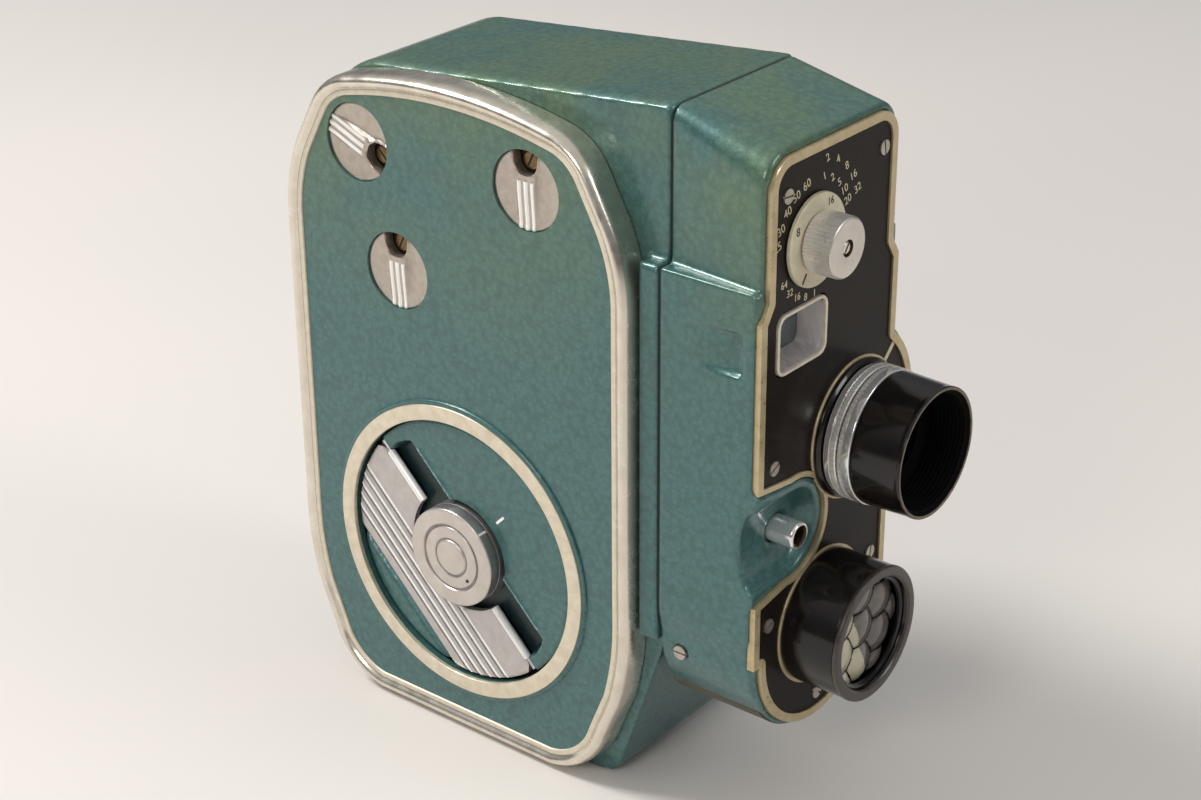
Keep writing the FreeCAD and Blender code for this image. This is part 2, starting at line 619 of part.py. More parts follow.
# ---------------------------------------------------------------- viewfinder
def viewfinder():
    x, z = FINDER
    w, h = FINDER_SIZE
    outer = slab(rounded_rectangle(FINDER, (w - 0.5, h - 0.5), 1.8, on_front(PLATE_Y + 1.0)), 1.5,
                 -Y_AXIS)
    inner = slab(rounded_rectangle(FINDER, (w - 1.9, h - 1.9), 1.3, on_front(PLATE_Y + 1.5)), 3.0,
                 -Y_AXIS)
    save("finder_frame", outer.cut(inner))
    front_y, turn_y, back_y = PLATE_Y + 1.05, SEAM_Y + 1.5, 33.8

    def rectangle(centre, size, y):
        return rounded_rectangle(centre, size, 0.9, on_front(y))

    neck = (EYEPIECE[0], EYEPIECE[1])
    outside = Part.makeLoft([rectangle((x, z), (w - 1.0, h - 1.0), front_y),
                             rectangle(neck, (7.6, 7.6), turn_y)], True, True)
    outside = outside.fuse(slab(rectangle(neck, (7.6, 7.6), turn_y), back_y - turn_y, Y_AXIS))
    inside = Part.makeLoft([rectangle((x, z), (w - 2.0, h - 2.0), front_y),
                            rectangle(neck, (6.6, 6.6), turn_y)], True, True)
    inside = inside.fuse(slab(rectangle(neck, (6.6, 6.6), turn_y), back_y - turn_y, Y_AXIS))
    save("finder_tunnel", outside.cut(inside).removeSplitter())
    lens = slab(rectangle((x - 0.2, z), (w - 3.7, h - 3.6), front_y + 2.6), 1.2, Y_AXIS)
    ex, ez = EYEPIECE
    eye_lens = rod(3.5, (ex, 34.4, ez), (ex, 36.0, ez))
    save("finder_glasses", Part.makeCompound([lens, eye_lens]))
    ring = tube(5.4, 3.0, (ex, COVER_HALF + BEAD - 0.2, ez), (ex, COVER_HALF + BEAD + 1.6, ez))
    save("finder_eyepiece", eased(ring, 0.6, edges_at("Y", COVER_HALF + BEAD + 1.6)))


# ---------------------------------------------------------------- lens
def lens_group():
    x, z = LENS

    def turned(outer, inner, y_front, y_back):
        return tube(outer, inner, (x, y_front, z), (x, y_back, z))

    barrel = turned(9.2, 7.2, -65.7, -53.8)
    seat = turned(SEAT_R, 7.2, PLATE_Y - 1.3, PLATE_Y)
    save("lens_barrel", fused([barrel, seat]))
    ring = turned(LENS_R, 9.2 + FIT, -63.3, -61.0)
    ring = ring.cut(turned(LENS_R + 1, LENS_R - 0.35, -62.3, -62.0))
    save("aperture_ring", ring)
    focus = turned(LENS_R, 9.2 + FIT, -65.9, -63.6)
    focus = focus.cut(turned(LENS_R + 1, LENS_R - 0.3, -64.6, -64.4))
    save("focus_ring", focus)
    cone = Part.makeCone(10.75, 11.0, 8.9, V(x, HOOD_FRONT_Y, z), Y_AXIS)
    bore = rod(9.9, (x, HOOD_FRONT_Y - 1, z), (x, -67.6, z))
    neck = rod(6.4, (x, HOOD_FRONT_Y, z), (x, -60, z))
    save("lens_hood", eased(cone, 0.35, edges_at("Y", HOOD_FRONT_Y)).cut(bore).cut(neck))
    glasses = [glass_disc(7.18, -65.6, -63.4, 24.0), glass_disc(7.18, -56.0, -54.2, 24.0)]
    save("lens_glasses", Part.makeCompound(glasses))
    save("iris_disc", turned(7.18, 2.2, -58.6, -58.2))


def glass_disc(radius, y_front, y_back, curve):
    """A planoconvex element, its crown towards the front."""
    x, z = LENS
    plug = rod(radius, (x, y_front - 3, z), (x, y_back, z))
    return plug.common(Part.makeSphere(curve, V(x, y_front + curve, z)))


# ---------------------------------------------------------------- meter
def meter_group():
    x, z = CELL

    def turned(outer, inner, y_front, y_back):
        return tube(outer, inner, (x, y_front, z), (x, y_back, z))

    body = turned(CELL_R, 10.2, CELL_FRONT_Y + 0.9, PLATE_Y)
    save("cell_tube", body)
    flange = turned(CELL_R + 0.1, 9.5, CELL_FRONT_Y, CELL_FRONT_Y + 0.9)
    save("cell_flange", eased(flange, 0.3, edges_at("Y", CELL_FRONT_Y)))
    glass = rod(10.1, (x, CELL_FRONT_Y + 3.1, z), (x, CELL_FRONT_Y + 1.9, z))
    bumps = []
    pitch = 6.1
    for ring_step in range(7):
        angle = math.radians(60.0 * ring_step)
        reach = pitch if ring_step else 0.0
        cx, cz = x + reach * math.cos(angle), z + reach * math.sin(angle)
        ball = Part.makeSphere(5.6, V(cx, CELL_FRONT_Y + 1.9 + 4.7, cz))
        bumps.append(ball.common(rod(3.0, (cx, CELL_FRONT_Y + 0.5, cz), (cx, CELL_FRONT_Y + 2.5, cz))))
    save("cell_honeycomb_glass", fused([glass] + bumps))
    save("selenium_cell", rod(9.6, (x, CELL_FRONT_Y + 4.2, z), (x, CELL_FRONT_Y + 3.5, z)))
    magnet = turned(8.5, 5.5, -53.5, -46.5)
    magnet = magnet.cut(box((x - 2, -60, z + 2), (x + 2, -40, z + 12)))
    core = rod(3.4, (x, -53.5, z), (x, -47.0, z))
    yoke = rod(8.5, (x, -46.5, z), (x, -45.3, z))
    save("meter_movement", fused([magnet, yoke, core.fuse(rod(1.0, (x, -47.2, z), (x, -46, z)))]))
    coil = turned(4.9, 3.8, -54.0, -48.0)
    bridge = rod(4.9, (x, -54.6, z), (x, -54.0, z))
    needle = box((x - 0.2, -54.6, z + 3.0), (x + 0.2, -54.2, z + 10.2))
    save("meter_needle", fused([coil, bridge, needle]))


# ---------------------------------------------------------------- speed dial
def speed_dial_group():
    x, z = DIAL
    disc = tube(7.4, 1.5, (x, PLATE_Y - 0.9, z), (x, PLATE_Y - 0.15, z))
    save("speed_dial", eased(disc, 0.25, edges_at("Y", PLATE_Y - 0.9)))
    knob = rod(4.9, (x, PLATE_Y - 6.1, z), (x, PLATE_Y - 0.95, z))
    teeth = 40
    for index in range(teeth):
        angle = 2 * math.pi * index / teeth
        cx, cz = x + 5.08 * math.cos(angle), z + 5.08 * math.sin(angle)
        knob = knob.cut(rod(0.3, (cx, PLATE_Y - 5.4, cz), (cx, PLATE_Y - 1.5, cz)))
    knob = eased(knob, 0.35, edges_at("Y", PLATE_Y - 6.1))
    knob = knob.cut(rod(1.25, (x, -70, z), (x, PLATE_Y - 5.2, z)))
    spindle = rod(1.5, (x, PLATE_Y - 1.2, z), (x, -51.5, z))
    save("speed_knob", fused([knob, spindle]))


# ---------------------------------------------------------------- release
def release_group():
    x, z = BUTTON
    head = rod(BUTTON_R, (x, -61.3, z), (x, -53.0, z))
    head = eased(head, 0.3, edges_at("Y", -61.3))
    socket = rod(1.55, (x, -62, z), (x, -58.3, z))
    stem = rod(1.1, (x, -53.0, z), (x, -46.6, z))
    save("release_button", fused([head, stem]).cut(socket))
    save("release_spring", coil_spring((x, z), -52.77, -49.23, 1.75, 0.22, 4))


def coil_spring(axis, start, end, coil_r, wire_r, turns):
    """A faceted helical spring along Y: hexagonal wire, sixteen steps to a turn."""
    x, z = axis
    count = turns * 16
    rings = []
    for index in range(count + 1):
        turn = 2 * math.pi * turns * index / count
        y = start + (end - start) * index / count
        ring = []
        for corner in range(6):
            a = math.radians(60 * corner)
            reach = coil_r + wire_r * math.cos(a)
            ring.append(V(x + reach * math.cos(turn), y + wire_r * math.sin(a),
                          z + reach * math.sin(turn)))
        rings.append(ring)
    triangles = []
    for near, far in zip(rings, rings[1:]):
        for corner in range(6):
            following = (corner + 1) % 6
            triangles.append((near[corner], near[following], far[corner]))
            triangles.append((near[following], far[following], far[corner]))
    for ring in (rings[0], rings[-1]):
        triangles += [(ring[0], ring[corner], ring[corner + 1]) for corner in range(1, 5)]
    faces = [Part.Face(Part.makePolygon([a, b, c, a])) for a, b, c in triangles]
    shell = Part.makeShell(faces)
    shell.sewShape()
    solid = Part.Solid(Part.Shell(shell.Faces))
    if solid.Volume < 0:
        solid.reverse()
    return solid


# ---------------------------------------------------------------- mechanism
def gear(teeth, module, thickness, x, centre, turn, bore):
    """A spur gear on an X axis. Its teeth are thinned for backlash."""
    y, z = centre
    pitch_r = teeth * module / 2
    tip, root = pitch_r + 0.85 * module, pitch_r - 1.15 * module
    step = 2 * math.pi / teeth
    points = []
    for index in range(teeth):
        a = index * step + math.radians(turn)
        for radius, share in ((root, -0.30), (tip, -0.12), (tip, 0.12), (root, 0.30)):
            points.append((radius, a + share * step))
    corners = [V(x, y + r * math.cos(a), z + r * math.sin(a)) for r, a in points]
    wire = Part.makePolygon(corners + [corners[0]])
    blank = slab(wire, thickness, X_AXIS)
    return blank.cut(rod(bore, (x - 1, y, z), (x + thickness + 1, y, z)))


def train_centre(start, distance, angle):
    turn = math.radians(angle)
    return start[0] + distance * math.cos(turn), start[1] + distance * math.sin(turn)


IDLER = train_centre(KEY, (BARREL_TEETH + IDLER_PINION_TEETH) * MODULE / 2 + 0.05, IDLER_ANGLE)
GOVERNOR = train_centre(IDLER, (IDLER_TEETH + GOVERNOR_TEETH) * FINE_MODULE / 2 + 0.05,
                        GOVERNOR_ANGLE)


def meshing_turn(angle, teeth):
    """Turn that puts a tooth gap of the driven gear on the line back to its driver."""
    return angle + 180.0 + 180.0 / teeth


def mainspring_barrel():
    y, z = KEY
    bore = 2.4 + FIT
    drum = tube(20.5, bore, (-17.0, y, z), (-9.2, y, z))
    room = tube(19.6, 3.4, (-16.2, y, z), (-9.9, y, z))
    wheel = gear(BARREL_TEETH, MODULE, 1.0, -9.2, KEY, IDLER_ANGLE, bore)
    save("mainspring_barrel", fused([drum.cut(room), wheel]))

    turns, inner, outer, leaf = 7, 4.4, 19.1, 0.45
    count = turns * 8
    lines = []
    for half in (-leaf / 2, leaf / 2):
        points = []
        for index in range(count + 1):
            angle = 2 * math.pi * turns * index / count
            radius = inner + (outer - inner) * index / count + half
            points.append(V(-15.8, y + radius * math.cos(angle), z + radius * math.sin(angle)))
        curve = Part.BSplineCurve()
        curve.interpolate(points)
        lines.append((curve, points))
    (low, low_points), (high, high_points) = lines
    edges = [low.toShape(), Part.LineSegment(low_points[-1], high_points[-1]).toShape(),
             high.toShape(), Part.LineSegment(high_points[0], low_points[0]).toShape()]
    save("mainspring", slab(Part.Wire(Part.__sortEdges__(edges)), 5.5, X_AXIS))


def click_pawl():
    y, z = KEY
    pivot = CLICK_PIVOT
    arm = outline((y + 8.4, z - 0.3),
                  [((y + 12.4, z + 0.4),), ((y + 15.4, z - 1.2),), ((y + 14.6, z - 4.0),),
                   ((y + 11.6, z - 3.6),), ((y + 8.4, z - 0.3),)], on_side(-7.3))
    hole = rod(1.2 + FIT, (-9.0, pivot[0], pivot[1]), (-5.0, pivot[0], pivot[1]))
    save("click_pawl", slab(arm, 0.8, X_AXIS).cut(hole))


def idler_and_governor():
    y, z = IDLER
    pinion = gear(IDLER_PINION_TEETH, MODULE, 1.8, -9.6, IDLER,
                  meshing_turn(IDLER_ANGLE, IDLER_PINION_TEETH), 0.9)
    wheel = gear(IDLER_TEETH, FINE_MODULE, 0.8, -7.8, IDLER, GOVERNOR_ANGLE, 0.9)
    shaft = rod(0.9, (-11.0, y, z), (-4.2, y, z))
    save("idler_wheel", fused([pinion, wheel, shaft]))
    y, z = GOVERNOR
    pinion = gear(GOVERNOR_TEETH, FINE_MODULE, 1.4, -8.2, GOVERNOR,
                  meshing_turn(GOVERNOR_ANGLE, GOVERNOR_TEETH), 0.7)
    shaft = rod(0.7, (-16.0, y, z), (-4.2, y, z))
    plate = rod(5.6, (-14.2, y, z), (-13.4, y, z))
    collar = rod(1.6, (-13.4, y, z), (-9.6, y, z))
    weights = []
    for turn in (0, 120, 240):
        weight = box((-13.4, y + 2.6, z - 1.0), (-10.0, y + 5.0, z + 1.0))
        arm = box((-10.6, y + 0.5, z - 0.5), (-10.0, y + 3.0, z + 0.5))
        weight = weight.fuse(arm)
        weight.rotate(V(0, y, z), X_AXIS, turn)
        weights.append(weight)
    save("governor", fused([pinion, shaft, plate, collar] + weights))
    low_x = -16.6
    strap = box((low_x, y - 4.0, z - 3.2), (low_x + 0.5, y + 8.6, z + 3.2))
    strap = strap.cut(rod(0.7 + FIT, (low_x - 1, y, z), (low_x + 2, y, z)))
    post = box((low_x, y + 6.6, z - 1.0), (MAIN_PLATE[0], y + 8.6, z + 3.2))
    save("governor_bridge", fused([strap, post]))


def main_plate():
    wire = resized(case_profile(MAIN_PLATE[0]), -WALL - 0.3)
    plate = slab(wire, MAIN_PLATE[1] - MAIN_PLATE[0], X_AXIS)
    plate = plate.cut(box((-10, TRIPOD_Y - 8.2, -5), (0, TRIPOD_Y + 8.2, 7.6)))
    y, z = KEY
    holes = [(y, z, 2.4), (IDLER[0], IDLER[1], 0.9), (GOVERNOR[0], GOVERNOR[1], 0.7)]
    for cy, cz, radius in holes:
        plate = plate.cut(rod(radius + FIT, (-10, cy, cz), (0, cy, cz)))
    take_y, take_z = SPOOLS["take_up_spool"]
    plate = plate.cut(rod(2.0 + FIT, (-10, take_y, take_z), (0, take_y, take_z)))
    stud = rod(1.2, (-8.0, *CLICK_PIVOT), (MAIN_PLATE[1], *CLICK_PIVOT))
    pins = [rod(1.0, (MAIN_PLATE[0], ROLLER_Y, z), (13.8, ROLLER_Y, z)) for z in ROLLERS.values()]
    save("main_plate", fused([plate, stud] + pins))


def spools():
    x0, x1 = SPOOL_X
    for name, (y, z) in SPOOLS.items():
        core = rod(7.0, (x0, y, z), (x1, y, z))
        flanges = []
        for a, b in ((x0, x0 + 0.7), (x1 - 0.7, x1)):
            flange = rod(SPOOL_R, (a, y, z), (b, y, z))
            for turn in range(3):
                angle = math.radians(120 * turn + 30)
                cy, cz = y + 16.0 * math.cos(angle), z + 16.0 * math.sin(angle)
                flange = flange.cut(rod(4.6, (a - 1, cy, cz), (b + 1, cy, cz)))
            flanges.append(flange)
        spool = fused([core] + flanges)
        save(name, spool.cut(rod(4.0 + FIT, (x0 - 1, y, z), (x1 + 1, y, z))))
    y, z = SPOOLS["supply_spool"]
    post = fused([rod(4.0, (-3.6, y, z), (x1 + 0.6, y, z)), rod(5.5, (MAIN_PLATE[1], y, z), (-3.5, y, z))])
    save("supply_post", post)
    y, z = SPOOLS["take_up_spool"]
    spindle = fused([rod(3.98, (-3.6, y, z), (x1 + 0.6, y, z)), rod(5.5, (-3.8, y, z), (-3.5, y, z)),
                     rod(2.0, (-5.6, y, z), (-3.4, y, z))])
    save("take_up_spindle", spindle)


def film_gate():
    lx, lz = LENS
    plate = box((-3.2, -47.5, lz - 10.3), (13.8, -46.5, lz + 10.3))
    plate = plate.cut(box((lx - 2.44, -50, lz - 1.75), (lx + 2.44, -40, lz + 1.75)))
    slot = box((11.9, -50, 57.4), (13.1, -40, 64.6))
    feet = [box((-3.2, -50.2, lz + s * 8.6 - 1.2), (-1.2, -47.5, lz + s * 8.6 + 1.2)) for s in (-1, 1)]
    save("gate_plate", fused([plate.cut(slot)] + feet))
    pressure = box((-2.6, -45.9, lz - 8.0), (13.6, -45.1, lz + 8.0)).cut(slot)
    save("pressure_plate", pressure)
    bridge = box((-16.2, -51.5, 57.8), (16.6, -50.2, 79.5))
    bridge = bridge.cut(rod(4.2, (lx, -55, lz), (lx, -45, lz)))
    bridge = bridge.cut(rod(1.2 + FIT, (SHUTTER[0], -55, SHUTTER[1]), (SHUTTER[0], -45, SHUTTER[1])))
    bridge = bridge.cut(box((9.8, -60, 57.0), (14.6, -40, 60.4)))
    x, z = BUTTON
    shelf = box((x - 3.0, -50.2, 57.8), (x + 3.0, -48.2, 58.6))
    spring_seat = box((x - 3.0, -49.0, z - 3.0), (x + 3.0, -48.2, 58.6))
    spring_seat = spring_seat.cut(rod(1.1 + FIT, (x, -50, z), (x, -47, z)))
    save("shutter_bridge", fused([bridge, shelf, spring_seat]))
    sx, sz = SHUTTER
    disc = rod(12.6, (sx, -53.0, sz), (sx, -52.7, sz))
    gap = outline((0, 0), [((13.5, 9.0),), ((15.5, 0.0), (13.5, -9.0)), ((0, 0),)],
                  lambda p: V(sx + p[0], -55, sz + p[1]))
    hub = rod(3.6, (sx, -53.3, sz), (sx, -52.2, sz))
    shaft = rod(1.2, (sx, -53.4, sz), (sx, -47.9, sz))
    pinion = rod(2.6, (sx, -49.9, sz), (sx, -48.9, sz))
    save("shutter", fused([disc.cut(slab(gap, 5, Y_AXIS)), hub, shaft, pinion]))
    claw = box((10.6, -49.7, 50.8), (13.6, -48.7, 62.6))
    tip = box((12.15, -49.0, 61.0), (12.85, -46.2, 61.9))
    save("pull_down_claw", fused([claw, tip]))


def film_rollers():
    for name, z in ROLLERS.items():
        save(name, tube(3.0, 1.0 + FIT, (-3.2, ROLLER_Y, z), (13.4, ROLLER_Y, z)))


def main():
    os.makedirs("parts", exist_ok=True)
    rear_case()
    tripod_bush()
    front_case()
    save("front_foot_band", foot_band(0.02))
    front_plate_group()
    winding_cover_group()
    winding_key()
    thumb_discs()
    film_door_group()
    viewfinder()
    lens_group()
    meter_group()
    speed_dial_group()
    release_group()
    mainspring_barrel()
    click_pawl()
    idler_and_governor()
    main_plate()
    spools()
    film_gate()
    film_rollers()


main()
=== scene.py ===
import json
import math

import bmesh
import bpy
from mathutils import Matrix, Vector

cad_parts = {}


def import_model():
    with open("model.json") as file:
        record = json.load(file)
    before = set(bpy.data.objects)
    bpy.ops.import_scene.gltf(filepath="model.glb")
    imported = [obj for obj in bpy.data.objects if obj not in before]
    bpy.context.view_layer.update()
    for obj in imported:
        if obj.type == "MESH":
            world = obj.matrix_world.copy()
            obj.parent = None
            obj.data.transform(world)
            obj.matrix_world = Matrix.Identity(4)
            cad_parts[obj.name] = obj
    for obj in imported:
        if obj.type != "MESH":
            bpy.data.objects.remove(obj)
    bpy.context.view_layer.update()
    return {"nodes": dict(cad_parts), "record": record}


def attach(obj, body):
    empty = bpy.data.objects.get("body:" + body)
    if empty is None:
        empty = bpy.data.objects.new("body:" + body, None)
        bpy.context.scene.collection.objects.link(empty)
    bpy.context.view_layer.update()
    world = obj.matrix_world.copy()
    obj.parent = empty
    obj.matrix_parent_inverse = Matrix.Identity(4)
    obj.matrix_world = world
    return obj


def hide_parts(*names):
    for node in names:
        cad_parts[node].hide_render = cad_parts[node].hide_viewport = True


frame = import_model()

MM = 0.001
WELD = 2e-6  # metres within which two vertices are one
TURN = 2 * math.pi

# driving dimensions in millimetres, the same as the CAD part's
COVER_FACE = 20.5
COVER_HALF = 33.1
DOOR_SHRINK = 1.5
SEAM_Y = -40.9
PLATE_Y = -59.4
KEY = (0.0, 35.1)
LENS = (7.9, 66.2)
CELL = (0.2, 35.5)
DIAL = (-5.2, 102.4)
FINDER = (-7.7, 87.6)
FINDER_SIZE = (13.8, 10.8)
EYEPIECE = (-9.9, 87.7)
BUTTON = (-9.0, 54.3)
# (y, z, direction of the mouth in degrees)
THUMBS = {
    "thumb_disc_rear": (19.5, 104.4, 199.0),
    "thumb_disc_front": (-16.3, 104.4, 90.0),
    "thumb_disc_lower": (11.8, 83.8, 90.0),
}
THUMB_BODY = {
    "thumb_disc_rear": "thumb_rear",
    "thumb_disc_front": "thumb_front",
    "thumb_disc_lower": "thumb_lower",
}


# ---------------------------------------------------------------- materials
def start_material(name):
    mat = bpy.data.materials.new(name)
    mat.use_nodes = True
    return mat, mat.node_tree.nodes, mat.node_tree.links


def put(node, values):
    for key, value in values.items():
        node.inputs[key].default_value = value


def coords_at(nodes, links, grain, stretch=(1.0, 1.0, 1.0)):
    """Object coordinates scaled so that one texture cell is about grain millimetres."""
    where = nodes.new("ShaderNodeTexCoord")
    mapping = nodes.new("ShaderNodeMapping")
    mapping.inputs["Scale"].default_value = [s / (grain * MM) for s in stretch]
    links.new(where.outputs["Object"], mapping.inputs["Vector"])
    return mapping.outputs["Vector"]


def noise_at(nodes, links, grain, stretch=(1.0, 1.0, 1.0), detail=4.0, roughness=0.55):
    noise = nodes.new("ShaderNodeTexNoise")
    put(noise, {"Scale": 1.0, "Detail": detail, "Roughness": roughness})
    links.new(coords_at(nodes, links, grain, stretch), noise.inputs["Vector"])
    return noise.outputs["Fac"]


def ramp_of(nodes, links, source, stops):
    ramp = nodes.new("ShaderNodeValToRGB")
    elements = ramp.color_ramp.elements
    while len(elements) < len(stops):
        elements.new(0.5)
    for element, (at, colour) in zip(elements, stops):
        element.position = at
        element.color = (*colour, 1.0)
    links.new(source, ramp.inputs["Fac"])
    return ramp.outputs["Color"]


def range_of(nodes, links, source, low, high, from_low=0.3, from_high=0.7):
    spread = nodes.new("ShaderNodeMapRange")
    put(spread, {"From Min": from_low, "From Max": from_high, "To Min": low, "To Max": high})
    links.new(source, spread.inputs["Value"])
    return spread.outputs["Result"]


def mixed(nodes, links, factor, first, second):
    mix = nodes.new("ShaderNodeMix")
    mix.data_type = "RGBA"
    links.new(factor, mix.inputs["Factor"])
    links.new(first, mix.inputs[6])
    links.new(second, mix.inputs[7])
    return mix.outputs[2]


def bumped(nodes, links, source, depth, strength, under=None):
    bump = nodes.new("ShaderNodeBump")
    put(bump, {"Strength": strength, "Distance": depth * MM})
    links.new(source, bump.inputs["Height"])
    if under is not None:
        links.new(under, bump.inputs["Normal"])
    return bump.outputs["Normal"]


def coloured(nodes, links, shader, source, dark, light, rough):
    """Colour from dark to light and roughness over its range, led by the same noise."""
    links.new(ramp_of(nodes, links, source, [(0.3, dark), (0.7, light)]), shader.inputs["Base Color"])
    links.new(range_of(nodes, links, source, *rough), shader.inputs["Roughness"])


def finish(name, dark, light, grain, metallic=0.0, rough=(0.3, 0.45), depth=0.01, strength=0.3,
           stretch=(1.0, 1.0, 1.0), coat=0.0, coat_rough=0.1, fine=0.35, ior=1.5):
    """A surface whose colour, gloss and relief vary with a coarse and a fine noise."""
    mat, nodes, links = start_material(name)
    shader = nodes["Principled BSDF"]
    coarse = noise_at(nodes, links, grain, stretch)
    small = noise_at(nodes, links, grain * fine, stretch, 3.0, 0.6)
    coloured(nodes, links, shader, coarse, dark, light, rough)
    links.new(bumped(nodes, links, small, depth, strength), shader.inputs["Normal"])
    put(shader, {"Metallic": metallic, "IOR": ior, "Coat Weight": coat, "Coat Roughness": coat_rough})
    return mat


def hammer_lacquer():
    """Teal hammer finish: shallow round cells, metallic flake, an olive tint higher up."""
    mat, nodes, links = start_material("hammer_lacquer")
    shader = nodes["Principled BSDF"]
    cells = nodes.new("ShaderNodeTexVoronoi")
    cells.feature = "SMOOTH_F1"
    put(cells, {"Scale": 1.0, "Smoothness": 0.6})
    warp = noise_at(nodes, links, 2.2, detail=2.0)
    place = coords_at(nodes, links, 1.1)
    shift = nodes.new("ShaderNodeVectorMath")
    shift.operation = "ADD"
    links.new(place, shift.inputs[0])
    links.new(warp, shift.inputs[1])
    links.new(shift.outputs["Vector"], cells.inputs["Vector"])
    distance = cells.outputs["Distance"]
    flake = noise_at(nodes, links, 0.35, detail=2.0)
    cool = ramp_of(nodes, links, distance, [(0.1, (0.056, 0.160, 0.158)), (0.75, (0.036, 0.108, 0.108))])
    warm = ramp_of(nodes, links, distance, [(0.1, (0.108, 0.188, 0.112)), (0.75, (0.074, 0.135, 0.078))])
    split = nodes.new("ShaderNodeSeparateXYZ")
    whole = nodes.new("ShaderNodeTexCoord")
    links.new(whole.outputs["Object"], split.inputs["Vector"])
    # olive tint that grows towards the top of the case, in cloudy patches
    height = range_of(nodes, links, split.outputs["Z"], 0.0, 1.0, 0.070, 0.112)
    cloud = range_of(nodes, links, noise_at(nodes, links, 26.0, detail=3.0), 0.1, 1.0, 0.36, 0.58)
    olive_share = nodes.new("ShaderNodeMath")
    olive_share.operation = "MULTIPLY"
    links.new(height, olive_share.inputs[0])
    links.new(cloud, olive_share.inputs[1])
    tint = mixed(nodes, links, olive_share.outputs["Value"], cool, warm)
    glint = mixed(nodes, links, range_of(nodes, links, flake, 0.0, 0.30, 0.45, 0.75), tint,
                  ramp_of(nodes, links, flake, [(0.3, (0.05, 0.15, 0.14)), (0.8, (0.16, 0.31, 0.29))]))
    links.new(glint, shader.inputs["Base Color"])
    links.new(range_of(nodes, links, flake, 0.30, 0.46), shader.inputs["Roughness"])
    under = bumped(nodes, links, distance, 0.08, 0.34)
    fine = bumped(nodes, links, flake, 0.015, 0.25, under)
    links.new(fine, shader.inputs["Normal"])
    links.new(under, shader.inputs["Coat Normal"])
    put(shader, {"Metallic": 0.28, "Coat Weight": 0.5, "Coat Roughness": 0.10})
    return mat


def glass(name, colour, through, rough):
    mat, nodes, links = start_material(name)
    shader = nodes["Principled BSDF"]
    smear = noise_at(nodes, links, 2.5)
    light = tuple(min(1.0, c * 1.06) for c in colour)
    coloured(nodes, links, shader, smear, colour, light, (rough, rough + 0.05))
    put(shader, {"Transmission Weight": through, "IOR": 1.5, "Coat Weight": 0.4, "Coat Roughness": 0.02})
    return mat


def turned_metal(name, dark, light, axis, centre, rough=(0.30, 0.40)):
    """Metal with fine concentric tool marks round an axis."""
    mat, nodes, links = start_material(name)
    shader = nodes["Principled BSDF"]
    where = nodes.new("ShaderNodeTexCoord")
    mapping = nodes.new("ShaderNodeMapping")
    mapping.vector_type = "POINT"
    a, b = -centre[0] * MM, -centre[1] * MM
    mapping.inputs["Location"].default_value = (0.0, a, b) if axis == "X" else (a, 0.0, b)
    links.new(where.outputs["Object"], mapping.inputs["Vector"])
    flat = nodes.new("ShaderNodeVectorMath")
    flat.operation = "MULTIPLY"
    flat.inputs[1].default_value = (0, 1, 1) if axis == "X" else (1, 0, 1)
    links.new(mapping.outputs["Vector"], flat.inputs[0])
    radius = nodes.new("ShaderNodeVectorMath")
    radius.operation = "LENGTH"
    links.new(flat.outputs["Vector"], radius.inputs[0])
    lines = nodes.new("ShaderNodeTexNoise")
    lines.noise_dimensions = "1D"
    put(lines, {"Scale": 2600.0, "Detail": 3.0})
    links.new(radius.outputs["Value"], lines.inputs["W"])
    blotch = noise_at(nodes, links, 3.0)
    coloured(nodes, links, shader, blotch, dark, light, rough)
    links.new(bumped(nodes, links, lines.outputs["Fac"], 0.006, 0.2), shader.inputs["Normal"])
    shader.inputs["Metallic"].default_value = 0.8
    return mat


